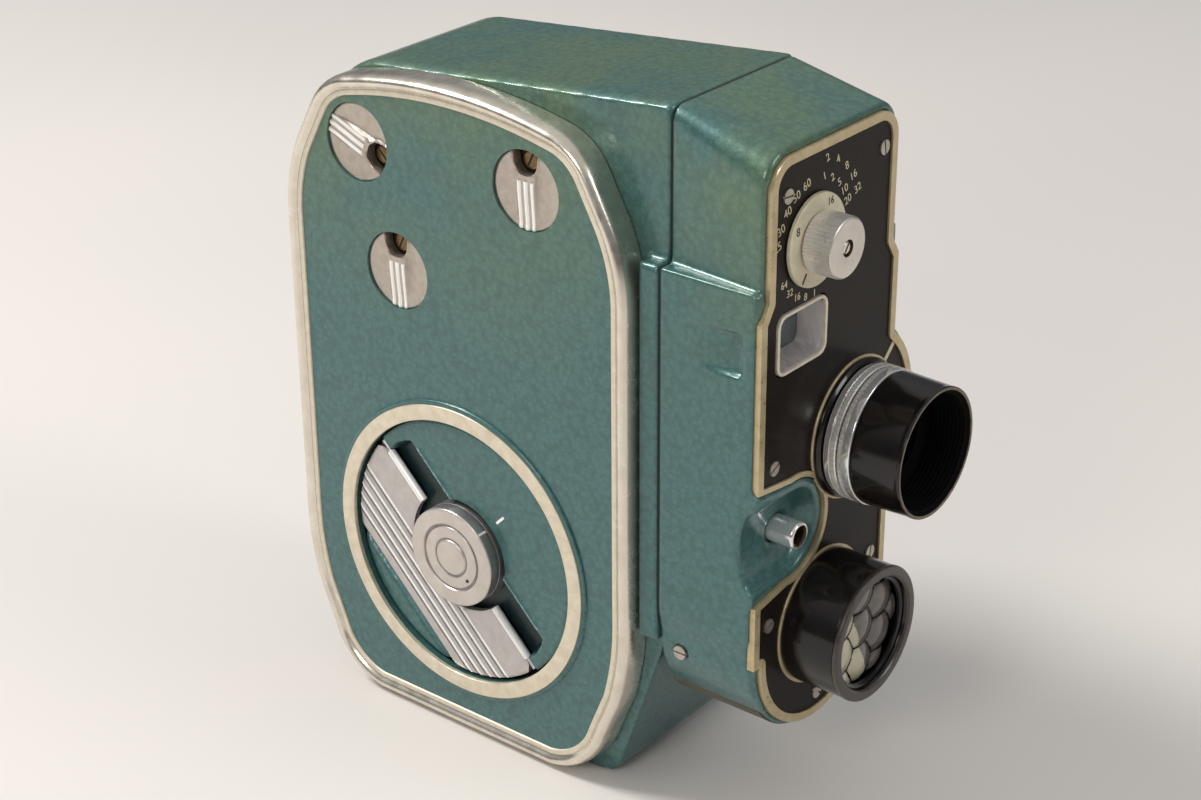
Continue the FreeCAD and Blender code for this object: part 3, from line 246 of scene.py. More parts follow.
# dark and light colour, grain in mm, metal, roughness range, depth of relief in mm and its strength
FINISHES = {
    "nickel": ((0.68, 0.62, 0.52), (0.82, 0.77, 0.67), 3.0, 0.9, (0.18, 0.30), 0.006, 0.2),
    "nickel_flat": ((0.66, 0.59, 0.46), (0.80, 0.73, 0.60), 1.6, 0.4, (0.44, 0.56), 0.01, 0.3),
    "cream_ring": ((0.66, 0.58, 0.44), (0.80, 0.73, 0.59), 1.8, 0.55, (0.30, 0.42), 0.01, 0.3),
    "ribbed_aluminium": ((0.50, 0.47, 0.46), (0.60, 0.57, 0.55), 2.0, 0.80, (0.34, 0.42), 0.004, 0.12),
    # near white: real white index marks, and painted highlights on ribs and rolled edges
    "white_mark_and_painted_highlight": ((0.90, 0.89, 0.86), (0.98, 0.97, 0.94), 1.1, 0.25, (0.18, 0.26), 0.004, 0.1),
    "bright_steel": ((0.42, 0.37, 0.32), (0.54, 0.49, 0.43), 1.4, 0.85, (0.30, 0.42), 0.006, 0.2),
    "dark_steel": ((0.030, 0.016, 0.010), (0.075, 0.040, 0.024), 0.9, 0.5, (0.4, 0.6), 0.02, 0.4),
    "plain_steel": ((0.42, 0.42, 0.42), (0.58, 0.58, 0.57), 1.2, 1.0, (0.28, 0.42), 0.01, 0.3,
        dict(stretch=(1.0, 0.3, 1.0))),
    "black_gloss": ((0.007, 0.005, 0.004), (0.016, 0.012, 0.010), 0.5, 0.0, (0.30, 0.42), 0.03, 0.35,
        dict(coat=0.06, coat_rough=0.1, ior=1.2)),
    "black_satin": ((0.004, 0.003, 0.003), (0.009, 0.007, 0.006), 3.0, 0.0, (0.22, 0.27), 0.004, 0.1,
        dict(coat=0.45, coat_rough=0.08, ior=1.3)),
    "black_rough": ((0.002, 0.002, 0.002), (0.007, 0.006, 0.006), 0.4, 0.0, (0.6, 0.8), 0.05, 0.5,
        dict(ior=1.12)),
    "olive_band": ((0.055, 0.050, 0.028), (0.095, 0.085, 0.050), 1.5, 0.0, (0.45, 0.6), 0.02, 0.3),
    "gold": ((0.46, 0.37, 0.21), (0.58, 0.48, 0.29), 2.2, 0.45, (0.26, 0.36), 0.004, 0.15),
    # brass darkened with painted shade of the recessed mouths
    "brass": ((0.13, 0.08, 0.04), (0.26, 0.18, 0.09), 1.6, 1.0, (0.24, 0.36), 0.01, 0.3),
    "cream_dial": ((0.56, 0.50, 0.35), (0.70, 0.63, 0.46), 1.7, 0.15, (0.38, 0.5), 0.01, 0.25),
    "knurled_chrome": ((0.72, 0.70, 0.66), (0.80, 0.78, 0.74), 2.4, 0.6, (0.26, 0.32), 0.002, 0.15),
    "polished_chrome": ((0.80, 0.79, 0.77), (0.90, 0.89, 0.87), 1.5, 0.75, (0.10, 0.18), 0.003, 0.1),
    "brown_flange": ((0.024, 0.017, 0.013), (0.050, 0.037, 0.030), 1.0, 0.0, (0.32, 0.45), 0.02, 0.3,
        dict(coat=0.3, coat_rough=0.2)),
    "selenium": ((0.34, 0.31, 0.24), (0.80, 0.75, 0.55), 3.2, 0.2, (0.35, 0.5), 0.02, 0.3),
    "black_plastic": ((0.010, 0.010, 0.010), (0.022, 0.021, 0.020), 0.7, 0.0, (0.35, 0.5), 0.02, 0.3),
    "spring_steel": ((0.14, 0.16, 0.20), (0.30, 0.33, 0.38), 1.0, 1.0, (0.25, 0.4), 0.01, 0.3),
    "dial_ink": ((0.010, 0.010, 0.010), (0.025, 0.022, 0.020), 0.3, 0.0, (0.4, 0.55), 0.005, 0.2),
    "gold_ink": ((0.55, 0.47, 0.28), (0.74, 0.66, 0.44), 0.3, 0.5, (0.35, 0.5), 0.005, 0.2),
    "recess_grey": ((0.30, 0.28, 0.28), (0.46, 0.43, 0.42), 1.8, 0.3, (0.35, 0.5), 0.01, 0.3,
        dict(stretch=(2.5, 1.0, 0.4))),
    # painted shade for the dark lines in the grooves of bead, wing and hub
    "painted_groove_shade": ((0.22, 0.20, 0.20), (0.32, 0.30, 0.29), 1.0, 0.8, (0.35, 0.45), 0.004, 0.1),
    # painted highlight for the lip beside the key recess
    "painted_lip_highlight": ((0.10, 0.22, 0.22), (0.30, 0.46, 0.46), 0.8, 0.3, (0.2, 0.3), 0.01, 0.2),
    # painted shade for the key recess floor and the seat round the hub
    "recess_shade": ((0.006, 0.018, 0.020), (0.016, 0.036, 0.038), 1.2, 0.1, (0.3, 0.42), 0.02, 0.3),
    "seam_black": ((0.004, 0.005, 0.005), (0.010, 0.012, 0.012), 0.6, 0.0, (0.6, 0.8), 0.01, 0.2),
    # painted highlight: bronze line on the lens hood's front rim
    "hood_rim_painted_highlight": ((0.08, 0.06, 0.04), (0.20, 0.155, 0.105), 1.5, 0.6, (0.25, 0.4), 0.01, 0.3),
}
M = {
    "hammer_lacquer": hammer_lacquer(),
    "lens_glass": glass("lens_glass", (0.50, 0.56, 0.62), 0.9, 0.01),
    "coated_glass": glass("coated_glass", (0.030, 0.026, 0.040), 0.5, 0.01),
    "cell_glass": glass("cell_glass", (0.30, 0.27, 0.26), 0.72, 0.02),
    # pale warm glass: painted highlight on one side of the meter lenslets
    "cell_glass_painted_highlight": glass("cell_glass_painted_highlight", (0.72, 0.66, 0.48), 0.35, 0.04),
    "hub_face": turned_metal("hub_face", (0.56, 0.51, 0.47), (0.66, 0.61, 0.56), "X", KEY),
    "hub_side": turned_metal("hub_side", (0.34, 0.34, 0.34), (0.44, 0.44, 0.43), "X", KEY, (0.36, 0.46)),
    "knob_face": turned_metal("knob_face", (0.60, 0.55, 0.49), (0.74, 0.69, 0.62), "Y", DIAL),
}
for finish_name, values in FINISHES.items():
    extras = values[-1] if isinstance(values[-1], dict) else {}
    M[finish_name] = finish(finish_name, *values[:len(values) - bool(extras)], **extras)


# ---------------------------------------------------------------- mesh helpers
def linked(thing):
    bpy.context.scene.collection.objects.link(thing)
    return thing


def ring_faces(rows, count, closed=True):
    """Quads that join rings of count points each, row by row."""
    faces = []
    for row in range(rows if closed else rows - 1):
        a, b = row * count, (row + 1) % rows * count
        for i in range(count):
            j = (i + 1) % count
            faces.append((a + i, a + j, b + j, b + i))
    return faces


def middle(verts, face, k):
    return sum(verts[i][k] for i in face) / len(face)


def settled(mesh, sharp):
    """Merges doubles, points faces outwards and marks the edges that stay sharp."""
    bm = bmesh.new()
    bm.from_mesh(mesh)
    bmesh.ops.remove_doubles(bm, verts=bm.verts, dist=WELD)
    bmesh.ops.dissolve_degenerate(bm, dist=1e-7, edges=bm.edges)
    bmesh.ops.recalc_face_normals(bm, faces=bm.faces)
    bm.to_mesh(mesh)
    bm.free()
    mesh.polygons.foreach_set("use_smooth", [True] * len(mesh.polygons))
    mesh.set_sharp_from_angle(angle=math.radians(sharp))


def add_piece(name, mesh, body, slot, nodes=(), sharp=32.0, bevel=0.0):
    settled(mesh, sharp)
    piece = linked(bpy.data.objects.new(name, mesh))
    if bevel:
        soft = piece.modifiers.new("soft", "BEVEL")
        soft.width = bevel * MM
        soft.segments = 2
        soft.limit_method = "ANGLE"
        soft.angle_limit = math.radians(38)
        soft.harden_normals = True
    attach(piece, body)
    if nodes:
        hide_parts(*nodes)
    return piece


def mesh_of(name, verts, faces, mats, bands=None):
    mesh = bpy.data.meshes.new(name)
    mesh.from_pydata([Vector(v) * MM for v in verts], [], faces)
    for key in mats:
        mesh.materials.append(M[key])
    if bands:
        mesh.polygons.foreach_set("material_index", bands)
    return mesh


FILLET_STEPS = 4


def rounded_profile(points, closed):
    """Profile corners (r, t, fillet, band, knurl) with their fillets worked out."""
    out = []
    count = len(points)
    for index, (r, t, fillet, band, knurl) in enumerate(points):
        if not fillet or (not closed and index in (0, count - 1)):
            out.append((r, t, band, knurl))
            continue
        here = Vector((r, t))
        before = Vector(points[index - 1][:2])
        after = Vector(points[(index + 1) % count][:2])
        a, b = (before - here), (after - here)
        reach = min(fillet, a.length * 0.49, b.length * 0.49)
        first, last = here + a.normalized() * reach, here + b.normalized() * reach
        for step in range(FILLET_STEPS + 1):
            s = step / FILLET_STEPS
            p = first * (1 - s) ** 2 + here * 2 * s * (1 - s) + last * s ** 2
            out.append((p.x, p.y, band if step == FILLET_STEPS else points[index - 1][3], knurl))
    return out


def lathe(name, axis, centre, points, mats, body, slot, nodes=(), closed=True, segments=96, teeth=0,
          depth=0.0, sharp=32.0):
    """Turns a profile round an axis. Knurled corners dip between the teeth."""
    full = [p if len(p) == 5 else (*p, 0.0)[:3] + ((p[3] if len(p) > 3 else 0), False) for p in
            [tuple(q) + (0.0,) * (3 - len(q)) for q in points]]
    profile = rounded_profile(full, closed)
    if teeth:
        segments = teeth * 2
    verts = []
    for r, t, _band, knurl in profile:
        for index in range(segments):
            angle = TURN * index / segments
            radius = r - (depth if knurl and teeth and index % 2 else 0.0)
            u, v = centre[0] + radius * math.cos(angle), centre[1] + radius * math.sin(angle)
            verts.append((t, u, v) if axis == "X" else (u, t, v))
    faces = ring_faces(len(profile), segments, closed)
    bands = [profile[i // segments][2] for i in range(len(faces))]
    return add_piece(name, mesh_of(name, verts, faces, mats, bands), body, slot, nodes, sharp)


def arc_points(start, mid, end, count):
    """Points on the circle through three points, without the start."""
    ax, ay = start
    bx, by = mid
    cx, cy = end
    d = 2 * (ax * (by - cy) + bx * (cy - ay) + cx * (ay - by))
    aa, bb, cc = ax * ax + ay * ay, bx * bx + by * by, cx * cx + cy * cy
    ux = (aa * (by - cy) + bb * (cy - ay) + cc * (ay - by)) / d
    uy = (aa * (cx - bx) + bb * (ax - cx) + cc * (bx - ax)) / d
    radius = math.hypot(ax - ux, ay - uy)
    a0 = math.atan2(ay - uy, ax - ux)
    am = (math.atan2(by - uy, bx - ux) - a0) % TURN
    a1 = (math.atan2(cy - uy, cx - ux) - a0) % TURN
    sweep = a1 if am < a1 else a1 - TURN
    return [(ux + radius * math.cos(a0 + sweep * i / count), uy + radius * math.sin(a0 + sweep * i / count))
            for i in range(1, count + 1)]


def path_of(start, steps, spacing=1.1):
    """Evenly divided points of a chain of lines (end,) and arcs (mid, end)."""
    points = [start]
    for step in steps:
        here, end = points[-1], step[-1]
        count = max(2, int(math.dist(here, end) / spacing))
        if len(step) == 1:
            points += [(here[0] + (end[0] - here[0]) * i / count, here[1] + (end[1] - here[1]) * i / count)
                       for i in range(1, count + 1)]
        else:
            points += arc_points(here, step[0], end, count)
    return points


def cover_path():
    """The side cover's outline as (Y, Z) points, once round."""
    half = path_of((0.0, 3.6), [
        ((19.5, 3.6),),
        ((25.0, 6.3), (28.0, 11.2)),
        ((31.2, 19.0),),
        ((32.7, 26.5), (COVER_HALF, 35.0)),
        ((COVER_HALF, 89.0),),
        ((32.4, 95.0), (30.2, 101.2)),
        ((26.6, 107.8),),
        ((24.3, 110.6), (20.5, 112.2)),
        ((10.3, 113.93), (0.0, 114.5)),
    ])
    return half + [(-y, z) for y, z in half[-2:0:-1]]


def outward_normals(path):
    normals = []
    count = len(path)
    area = sum(path[i - 1][0] * path[i][1] - path[i][0] * path[i - 1][1] for i in range(count))
    sign = 1.0 if area > 0 else -1.0
    for index in range(count):
        a, b, c = path[index - 1], path[index], path[(index + 1) % count]
        n1 = Vector((b[1] - a[1], a[0] - b[0])).normalized()
        n2 = Vector((c[1] - b[1], b[0] - c[0])).normalized()
        n = (n1 + n2).normalized()
        normals.append(n * sign / max(0.5, n.dot(n1)))
    return normals


def sweep(name, path, place, profile, mats, body, slot, nodes=(), sharp=30.0):
    """Carries a closed profile of (offset, height, band) round a closed path."""
    normals = outward_normals(path)
    verts, count = [], len(path)
    for offset, height, _band in profile:
        for (a, b), n in zip(path, normals):
            verts.append(place(a + n.x * offset, b + n.y * offset, height))
    faces = ring_faces(len(profile), count)
    bands = [profile[i // count][2] for i in range(len(faces))]
    return add_piece(name, mesh_of(name, verts, faces, mats, bands), body, slot, nodes, sharp)


def sliced_plate(rows, spans, height, back, columns):
    """A plate from rows of constant v. spans(v) gives (u start, u end) pairs; height(u, v) the face."""
    verts, faces = [], []
    previous = None
    for v in rows:
        strips = []
        for start, end in spans(v):
            base = len(verts)
            for index in range(columns + 1):
                u = start + (end - start) * index / columns
                verts.append((u, v, height(u, v)))
            strips.append(base)
        if previous is not None:
            for low, high in zip(previous, strips):
                for index in range(columns):
                    faces.append((low + index, low + index + 1, high + index + 1, high + index))
        previous = strips
    bm = bmesh.new()
    made = [bm.verts.new(v) for v in verts]
    for face in faces:
        bm.faces.new([made[i] for i in face])
    bmesh.ops.remove_doubles(bm, verts=bm.verts, dist=0.004)
    bmesh.ops.dissolve_degenerate(bm, dist=0.0005, edges=bm.edges)
    top = list(bm.faces)
    made = bmesh.ops.extrude_face_region(bm, geom=top)["geom"]
    for element in made:
        if isinstance(element, bmesh.types.BMVert):
            element.co.z = back
    bm.verts.index_update()
    verts = [tuple(v.co) for v in bm.verts]
    faces = [tuple(v.index for v in f.verts) for f in bm.faces]
    bm.free()
    return verts, faces


def softened(node, body, slot, bevel, key=None, name=None, sharp=32.0):
    """A copy of a CAD node's shape with its sharp edges eased."""
    mesh = frame["nodes"][node].data.copy()
    mesh.materials.clear()
    mesh.materials.append(M[key or slot])
    bm = bmesh.new()
    bm.from_mesh(mesh)
    bmesh.ops.remove_doubles(bm, verts=bm.verts, dist=WELD)
    bmesh.ops.dissolve_limit(bm, angle_limit=math.radians(0.6), verts=bm.verts, edges=bm.edges)
    bm.to_mesh(mesh)
    bm.free()
    return add_piece(name or node + "_shell", mesh, body, slot, (node,), sharp, bevel)


def cast_skin(node, body, slot, voxel, passes):
    """A copy of a casting whose edges are rounded, as thick lacquer leaves them."""
    mesh = frame["nodes"][node].data.copy()
    work = linked(bpy.data.objects.new(node + "_work", mesh))
    remesh = work.modifiers.new("remesh", "REMESH")
    remesh.mode = "VOXEL"
    remesh.voxel_size = voxel * MM
    soft = work.modifiers.new("soft", "SMOOTH")
    soft.factor = 0.5
    soft.iterations = passes
    thinner = work.modifiers.new("thinner", "DISPLACE")
    thinner.mid_level = 0.0
    thinner.strength = -0.12 * MM
    bpy.context.view_layer.update()
    skin = bpy.data.meshes.new_from_object(work.evaluated_get(bpy.context.evaluated_depsgraph_get()))
    bpy.data.objects.remove(work)
    skin.name = node + "_skin"
    skin.materials.clear()
    skin.materials.append(M[slot])
    return add_piece(node + "_skin", skin, body, slot, (node,), sharp=60.0)


# ---------------------------------------------------------------- CAD nodes keep their shape
SLOT_OF = {row["node"]: row["material_slot"] for row in frame["record"]["subparts"]}
for node_name, node in frame["nodes"].items():
    node.data.materials.clear()
    node.data.materials.append(M[SLOT_OF[node_name]])


# ---------------------------------------------------------------- case
cast_skin("rear_case", "case", "hammer_lacquer", 0.5, 6)
cast_skin("front_case", "case", "hammer_lacquer", 0.4, 7)
softened("winding_cover", "case", "hammer_lacquer", 0.1)
softened("front_plate_rim", "case", "gold", 0.22)
softened("slotted_screws", "case", "nickel", 0.06, key="bright_steel")
softened("film_door", "door", "hammer_lacquer", 0.12)
softened("door_lock_knob", "door_lock", "knurled_chrome", 0.2)
softened("front_plate", "case", "black_gloss", 0.08)

# band 1 is a thin painted shade line in the groove between flange and crest
BEAD_PROFILE = [
    (-0.9, -0.25, 0), (-0.05, -0.25, 0), (0.02, 0.12, 0), (0.12, 0.24, 0), (0.82, 0.28, 0), (0.97, 0.25, 0),
    (1.03, 0.20, 1), (1.08, 0.23, 2), (1.24, 0.34, 2), (1.45, 0.55, 2), (1.72, 0.75, 2), (2.02, 0.87, 2),
    (2.30, 0.88, 2), (2.56, 0.78, 2), (2.80, 0.58, 2), (3.00, 0.30, 2), (3.17, -0.06, 2), (3.29, -0.50, 2),
    (3.36, -1.0, 2), (3.39, -1.7, 2), (3.39, -4.45, 2), (-0.9, -4.45, 2),
]


def seam():
    """The dark joint between the rear shell and the front casting, just under the surface."""
    inset, half, top, ledge, foot = 0.45, 16.0, 122.4, 97.6, 32.6
    wide = half + 3.0
    radius = 2.5
    path = path_of((-18.15 + inset, foot), [((-18.3 + inset, 34.3),), ((-wide + inset, 38.3),),
        ((-wide + inset, ledge - inset),), ((-half + inset, ledge - inset),),
        ((-half + inset, top - radius - inset),), ((-half + inset + radius * 0.29,
        top - inset - radius * 0.29), (-half + inset + radius, top - inset)),
        ((half - inset - radius, top - inset),), ((half - inset - radius * 0.29,
        top - inset - radius * 0.29), (half - inset, top - radius - inset)),
        ((half - inset, ledge - inset),), ((wide - inset, ledge - inset),), ((wide - inset, 38.3),),
        ((18.3 - inset, 34.3),), ((18.15 - inset, foot),)], 2.0)
    verts, faces = [], []
    ring = [(-0.22, 0.0), (0.22, 0.0), (0.22, -1.0), (-0.22, -1.0)]
    for index, (x, z) in enumerate(path):
        before, after = path[max(0, index - 1)], path[min(len(path) - 1, index + 1)]
        run = Vector((after[0] - before[0], after[1] - before[1])).normalized()
        out = Vector((-run.y, run.x))
        verts += [(x + out.x * h, SEAM_Y + t, z + out.y * h) for t, h in ring]
    for index in range(len(path) - 1):
        a, b = index * 4, index * 4 + 4
        faces += [(a + k, a + (k + 1) % 4, b + (k + 1) % 4, b + k) for k in range(4)]
    faces += [(0, 1, 2, 3), (len(verts) - 4, len(verts) - 3, len(verts) - 2, len(verts) - 1)]
    add_piece("case_seam", mesh_of("case_seam", verts, faces, ["seam_black"]), "case", "dark_steel")


seam()


def bead(name, node, body, side, shrink):
    sweep(name, cover_path(), lambda y, z, h: (side * (COVER_FACE + h), y, z),
          [(o - shrink, h, b) for o, h, b in BEAD_PROFILE],
          ["nickel_flat", "painted_groove_shade", "nickel"], body, "nickel", (node,))


bead("winding_bead", "winding_cover_bead", "case", -1, 0.0)
bead("door_bead", "film_door_bead", "door", 1, DOOR_SHRINK)


def winding_ring():
    face = -COVER_FACE
    lathe("winding_ring_band", "X", KEY, [(24.2, face + 0.05, 0.0), (24.2, face - 0.74, 0.18),
        (26.98, face - 0.74, 0.18), (26.98, face + 0.05, 0.0)], ["cream_ring"], "case", "cream_ring",
        ("winding_ring",), segments=160)


winding_ring()


# ---------------------------------------------------------------- winding key
ALONG = Vector((math.sqrt(0.5), math.sqrt(0.5)))
ACROSS = Vector((math.sqrt(0.5), -math.sqrt(0.5)))


def on_key(u, v, height):
    """Key coordinates: u along the wing, v across it, height is X."""
    y = KEY[0] + ALONG.x * u + ACROSS.x * v
    z = KEY[1] + ALONG.y * u + ACROSS.y * v
    return height, y, z


def spread(breaks, steps):
    """Rows at every break, with the given number of divisions between them."""
    rows = [breaks[0]]
    for a, b, n in zip(breaks, breaks[1:], steps):
        rows += [a + (b - a) * i / n for i in range(1, n + 1)]
    return rows


def smooth(value, low, high):
    s = min(1.0, max(0.0, (value - low) / (high - low)))
    return s * s * (3 - 2 * s)


KEY_FACE = -20.4
KEY_FLOOR = -18.1


def key_disc():
    radius, seat = 23.85, 9.9

    def spans(v):
        outer = math.sqrt(max(0.0001, radius * radius - v * v))
        inner = math.sqrt(seat * seat - v * v) if abs(v) < seat else 0.0
        return [(-outer, -inner), (inner, outer)]

    def height(u, v):
        lowered = smooth(v, -5.3, -4.3) * (1 - 0.72 * smooth(v, 18.3, 20.6)) if v < 20.6 else 0.28
        if v < 1.2:
            turn_in = 1.1 * smooth(-v, 0.5, 5.0) ** 2
            lowered *= 1 - smooth(abs(u), 20.4 - turn_in, 21.7 - turn_in)
            lowered -= 0.16 * max(0.0, 1 - abs(v + 5.7) / 0.6) * (1 - smooth(abs(u), 17.6, 18.6))
        rim = smooth(math.hypot(u, v), 23.3, 23.85) * 0.25
        return KEY_FACE + rim + (KEY_FLOOR - KEY_FACE) * lowered

    rows = spread([-23.84, -23.2, -20.0, -10.2, -9.9, -9.4, -6.25, -3.85, 9.0, 9.9, 10.3, 18.0, 21.0, 23.0,
        23.84], [3, 6, 12, 2, 3, 8, 20, 12, 4, 2, 8, 10, 6, 5])
    verts, faces = sliced_plate(rows, spans, height, -17.45, 44)
    bands = []
    for face in faces:
        v = middle(verts, face, 1)
        deep = min(verts[i][2] for i in face) > KEY_FACE + 0.5
        u = abs(middle(verts, face, 0))
        # band 2, a light teal strip along the recess lip, is a painted highlight
        edge = -5.85 < v < -5.25 and u < 18.4 and not deep
        # band 1, the lowered recess floor, is painted shade
        bands.append(1 if deep and v < 9.0 else 2 if edge else 0)
    verts = [on_key(u, v, h) for u, v, h in verts]
    add_piece("key_disc_face", mesh_of("key_disc_face", verts, faces,
        ["hammer_lacquer", "recess_shade", "painted_lip_highlight"], bands), "key", "hammer_lacquer", ("key_disc",))
    # the seat round the hub is coloured with painted shade
    lathe("key_seat", "X", KEY, [(0.0, KEY_FLOOR + 0.02), (10.1, KEY_FLOOR + 0.02), (10.1, KEY_FLOOR + 0.7),
        (0.0, KEY_FLOOR + 0.7)], ["recess_shade"], "key", "hammer_lacquer", closed=False)


key_disc()


def key_wing():
    radius, notch, start, end, corner = 23.5, 11.0, 1.4, 18.2, 2.2
    ribs = (8.2, 10.1, 12.0, 13.8, 15.6)
    half = 0.28

    def spans(v):
        outer = math.sqrt(radius * radius - v * v)
        inner = math.sqrt(notch * notch - v * v) if v < notch else 0.0
        if v < corner + start:
            outer = min(outer, 21.2 + corner * math.sqrt(max(0.0, 1 - (1 - (v - start) / corner) ** 2)))
        return [(-outer, -inner), (inner, outer)]

    def height(u, v):
        top = KEY_FACE + 0.1
        top += 0.22 * (1 - smooth(v, start, start + 0.5))
        top += 0.16 * smooth(v, end - 0.35, end)
        for rib in ribs:
            away = abs(v - rib) / half
            if away < 1.0:
                top -= 0.12 * math.cos(away * math.pi / 2)
            top += 0.14 * max(0.0, 1 - abs(v - rib - 0.52) / 0.2)
        edge = math.hypot(u, v)
        top += 0.18 * smooth(edge, radius - 0.45, radius)
        if edge < notch + 0.4:
            top += 0.15 * (1 - smooth(edge, notch, notch + 0.4))
        return top

    rows = [start, 1.5, 1.7, 1.9, 2.15, 2.4, 2.7, 3.0, 3.3, 3.6, 4.0, 5.0, 6.0, 7.0]
    for rib in ribs:
        rows += [rib - half, rib - half * 0.5, rib, rib + half * 0.5, rib + half, rib + 0.52, rib + 0.72]
    rows += [10.7, 10.9, 10.97, 11.0, 16.6, 17.3, 17.7, 17.9, 18.05, end]
    verts, faces = sliced_plate(sorted(set(rows)), spans, height, KEY_FACE + 1.35, 30)
    centre_v = [middle(verts, f, 1) for f in faces]
    level = [min(verts[i][2] for i in f) for f in faces]
    # band 1 along each rib is a painted highlight, band 2 beside it painted shade
    bands = []
    for v, low in zip(centre_v, level):
        away = min((abs(v - rib), v - rib) for rib in ribs)[1] if low < KEY_FACE + 0.5 else 9.0
        bands.append(1 if abs(away) < half else 2 if half < away < 0.72 else 0)
    verts = [on_key(u, v, h) for u, v, h in verts]
    mesh = mesh_of("key_wing_blade", verts, faces, ["ribbed_aluminium", "white_mark_and_painted_highlight", "painted_groove_shade"], bands)
    add_piece("key_wing_blade", mesh, "wing", "ribbed_aluminium", ("key_wing",), sharp=40.0)
    # the rolled edges are near white, a painted highlight
    for sign, word in ((-1, "near"), (1, "far")):
        points, sides = [], 20
        for u in (10.92, 11.05, 21.0, 21.25):
            radius_here = 0.6 if u in (10.92, 21.25) else 0.72
            for index in range(sides):
                angle = TURN * index / sides
                points.append(on_key(sign * u, 1.4 + radius_here * math.cos(angle),
                                     KEY_FACE + 0.75 + radius_here * math.sin(angle)))
        faces = ring_faces(4, sides, closed=False)
        faces += [tuple(range(sides)), tuple(range(3 * sides, 4 * sides))]
        name = "key_wing_roll_" + word
        add_piece(name, mesh_of(name, points, faces, ["white_mark_and_painted_highlight"]), "wing", "ribbed_aluminium")


key_wing()


def bar(name, centre, axes, size, key, body, slot, nodes=(), bevel=0.05):
    """A small straight bar with eased edges. axes are three directions, size its half lengths."""
    corners = [(a, b, c) for a in (-1, 1) for b in (-1, 1) for c in (-1, 1)]
    verts = []
    for corner in corners:
        p = Vector(centre)
        for sign, axis, half in zip(corner, axes, size):
            p += Vector(axis) * sign * half
        verts.append(tuple(p))
    faces = [(0, 1, 3, 2), (4, 6, 7, 5), (0, 4, 5, 1), (2, 3, 7, 6), (0, 2, 6, 4), (1, 5, 7, 3)]
    return add_piece(name, mesh_of(name, verts, faces, [key]), body, slot, nodes, bevel=bevel)


def key_hub():
    front = -23.0
    # band 1 colours the engraved rings with painted shade
    lathe("key_hub_cap", "X", KEY, [(0.0, front + 0.02, 0.0, 0), (3.05, front + 0.02, 0.12, 0),
        (3.2, front + 0.24, 0.05, 1), (3.55, front + 0.24, 0.05, 0), (3.75, front + 0.10, 0.1, 0),
        (5.6, front + 0.10, 0.1, 1), (5.75, front + 0.32, 0.05, 1), (6.1, front + 0.32, 0.05, 0),
        (6.25, front + 0.04, 0.1, 0), (8.95, front + 0.04, 0.35, 2), (8.95, -20.85, 0.05, 1),
        (8.72, -20.80, 0.03, 1), (8.72, -20.62, 0.03, 2), (8.95, -20.58, 0.05, 2), (8.95, -18.15, 0.1, 2),
        (0.0, -18.15, 0.0, 2)], ["hub_face", "painted_groove_shade", "hub_side"], "key", "bright_steel", ("key_hub",),
        closed=False, segments=128)
    out = -ACROSS
    side = Vector((0.0, out.x, out.y))
    along = Vector((0.0, ALONG.x, ALONG.y))
    hub = Vector((0.0, *KEY))
    bar("hub_index_mark", hub + side * 8.93 + Vector((-21.75, 0, 0)), [(1, 0, 0), side, along],
        (0.85, 0.08, 0.22), "white_mark_and_painted_highlight", "key", "bright_steel", bevel=0.03)
    bar("disc_index_mark", hub + side * 13.0 + Vector((KEY_FACE, 0, 0)), [(1, 0, 0), side, along],
        (0.06, 1.15, 0.24), "white_mark_and_painted_highlight", "key", "bright_steel", bevel=0.03)
    lathe("hub_pin_dot", "X", (KEY[0] - 3.6, KEY[1] - 3.3),
        [(0.0, front - 0.01), (0.3, front - 0.01, 0.05), (0.3, front + 0.2), (0.0, front + 0.2)],
        ["dark_steel"], "key", "bright_steel", closed=False, segments=24)


key_hub()


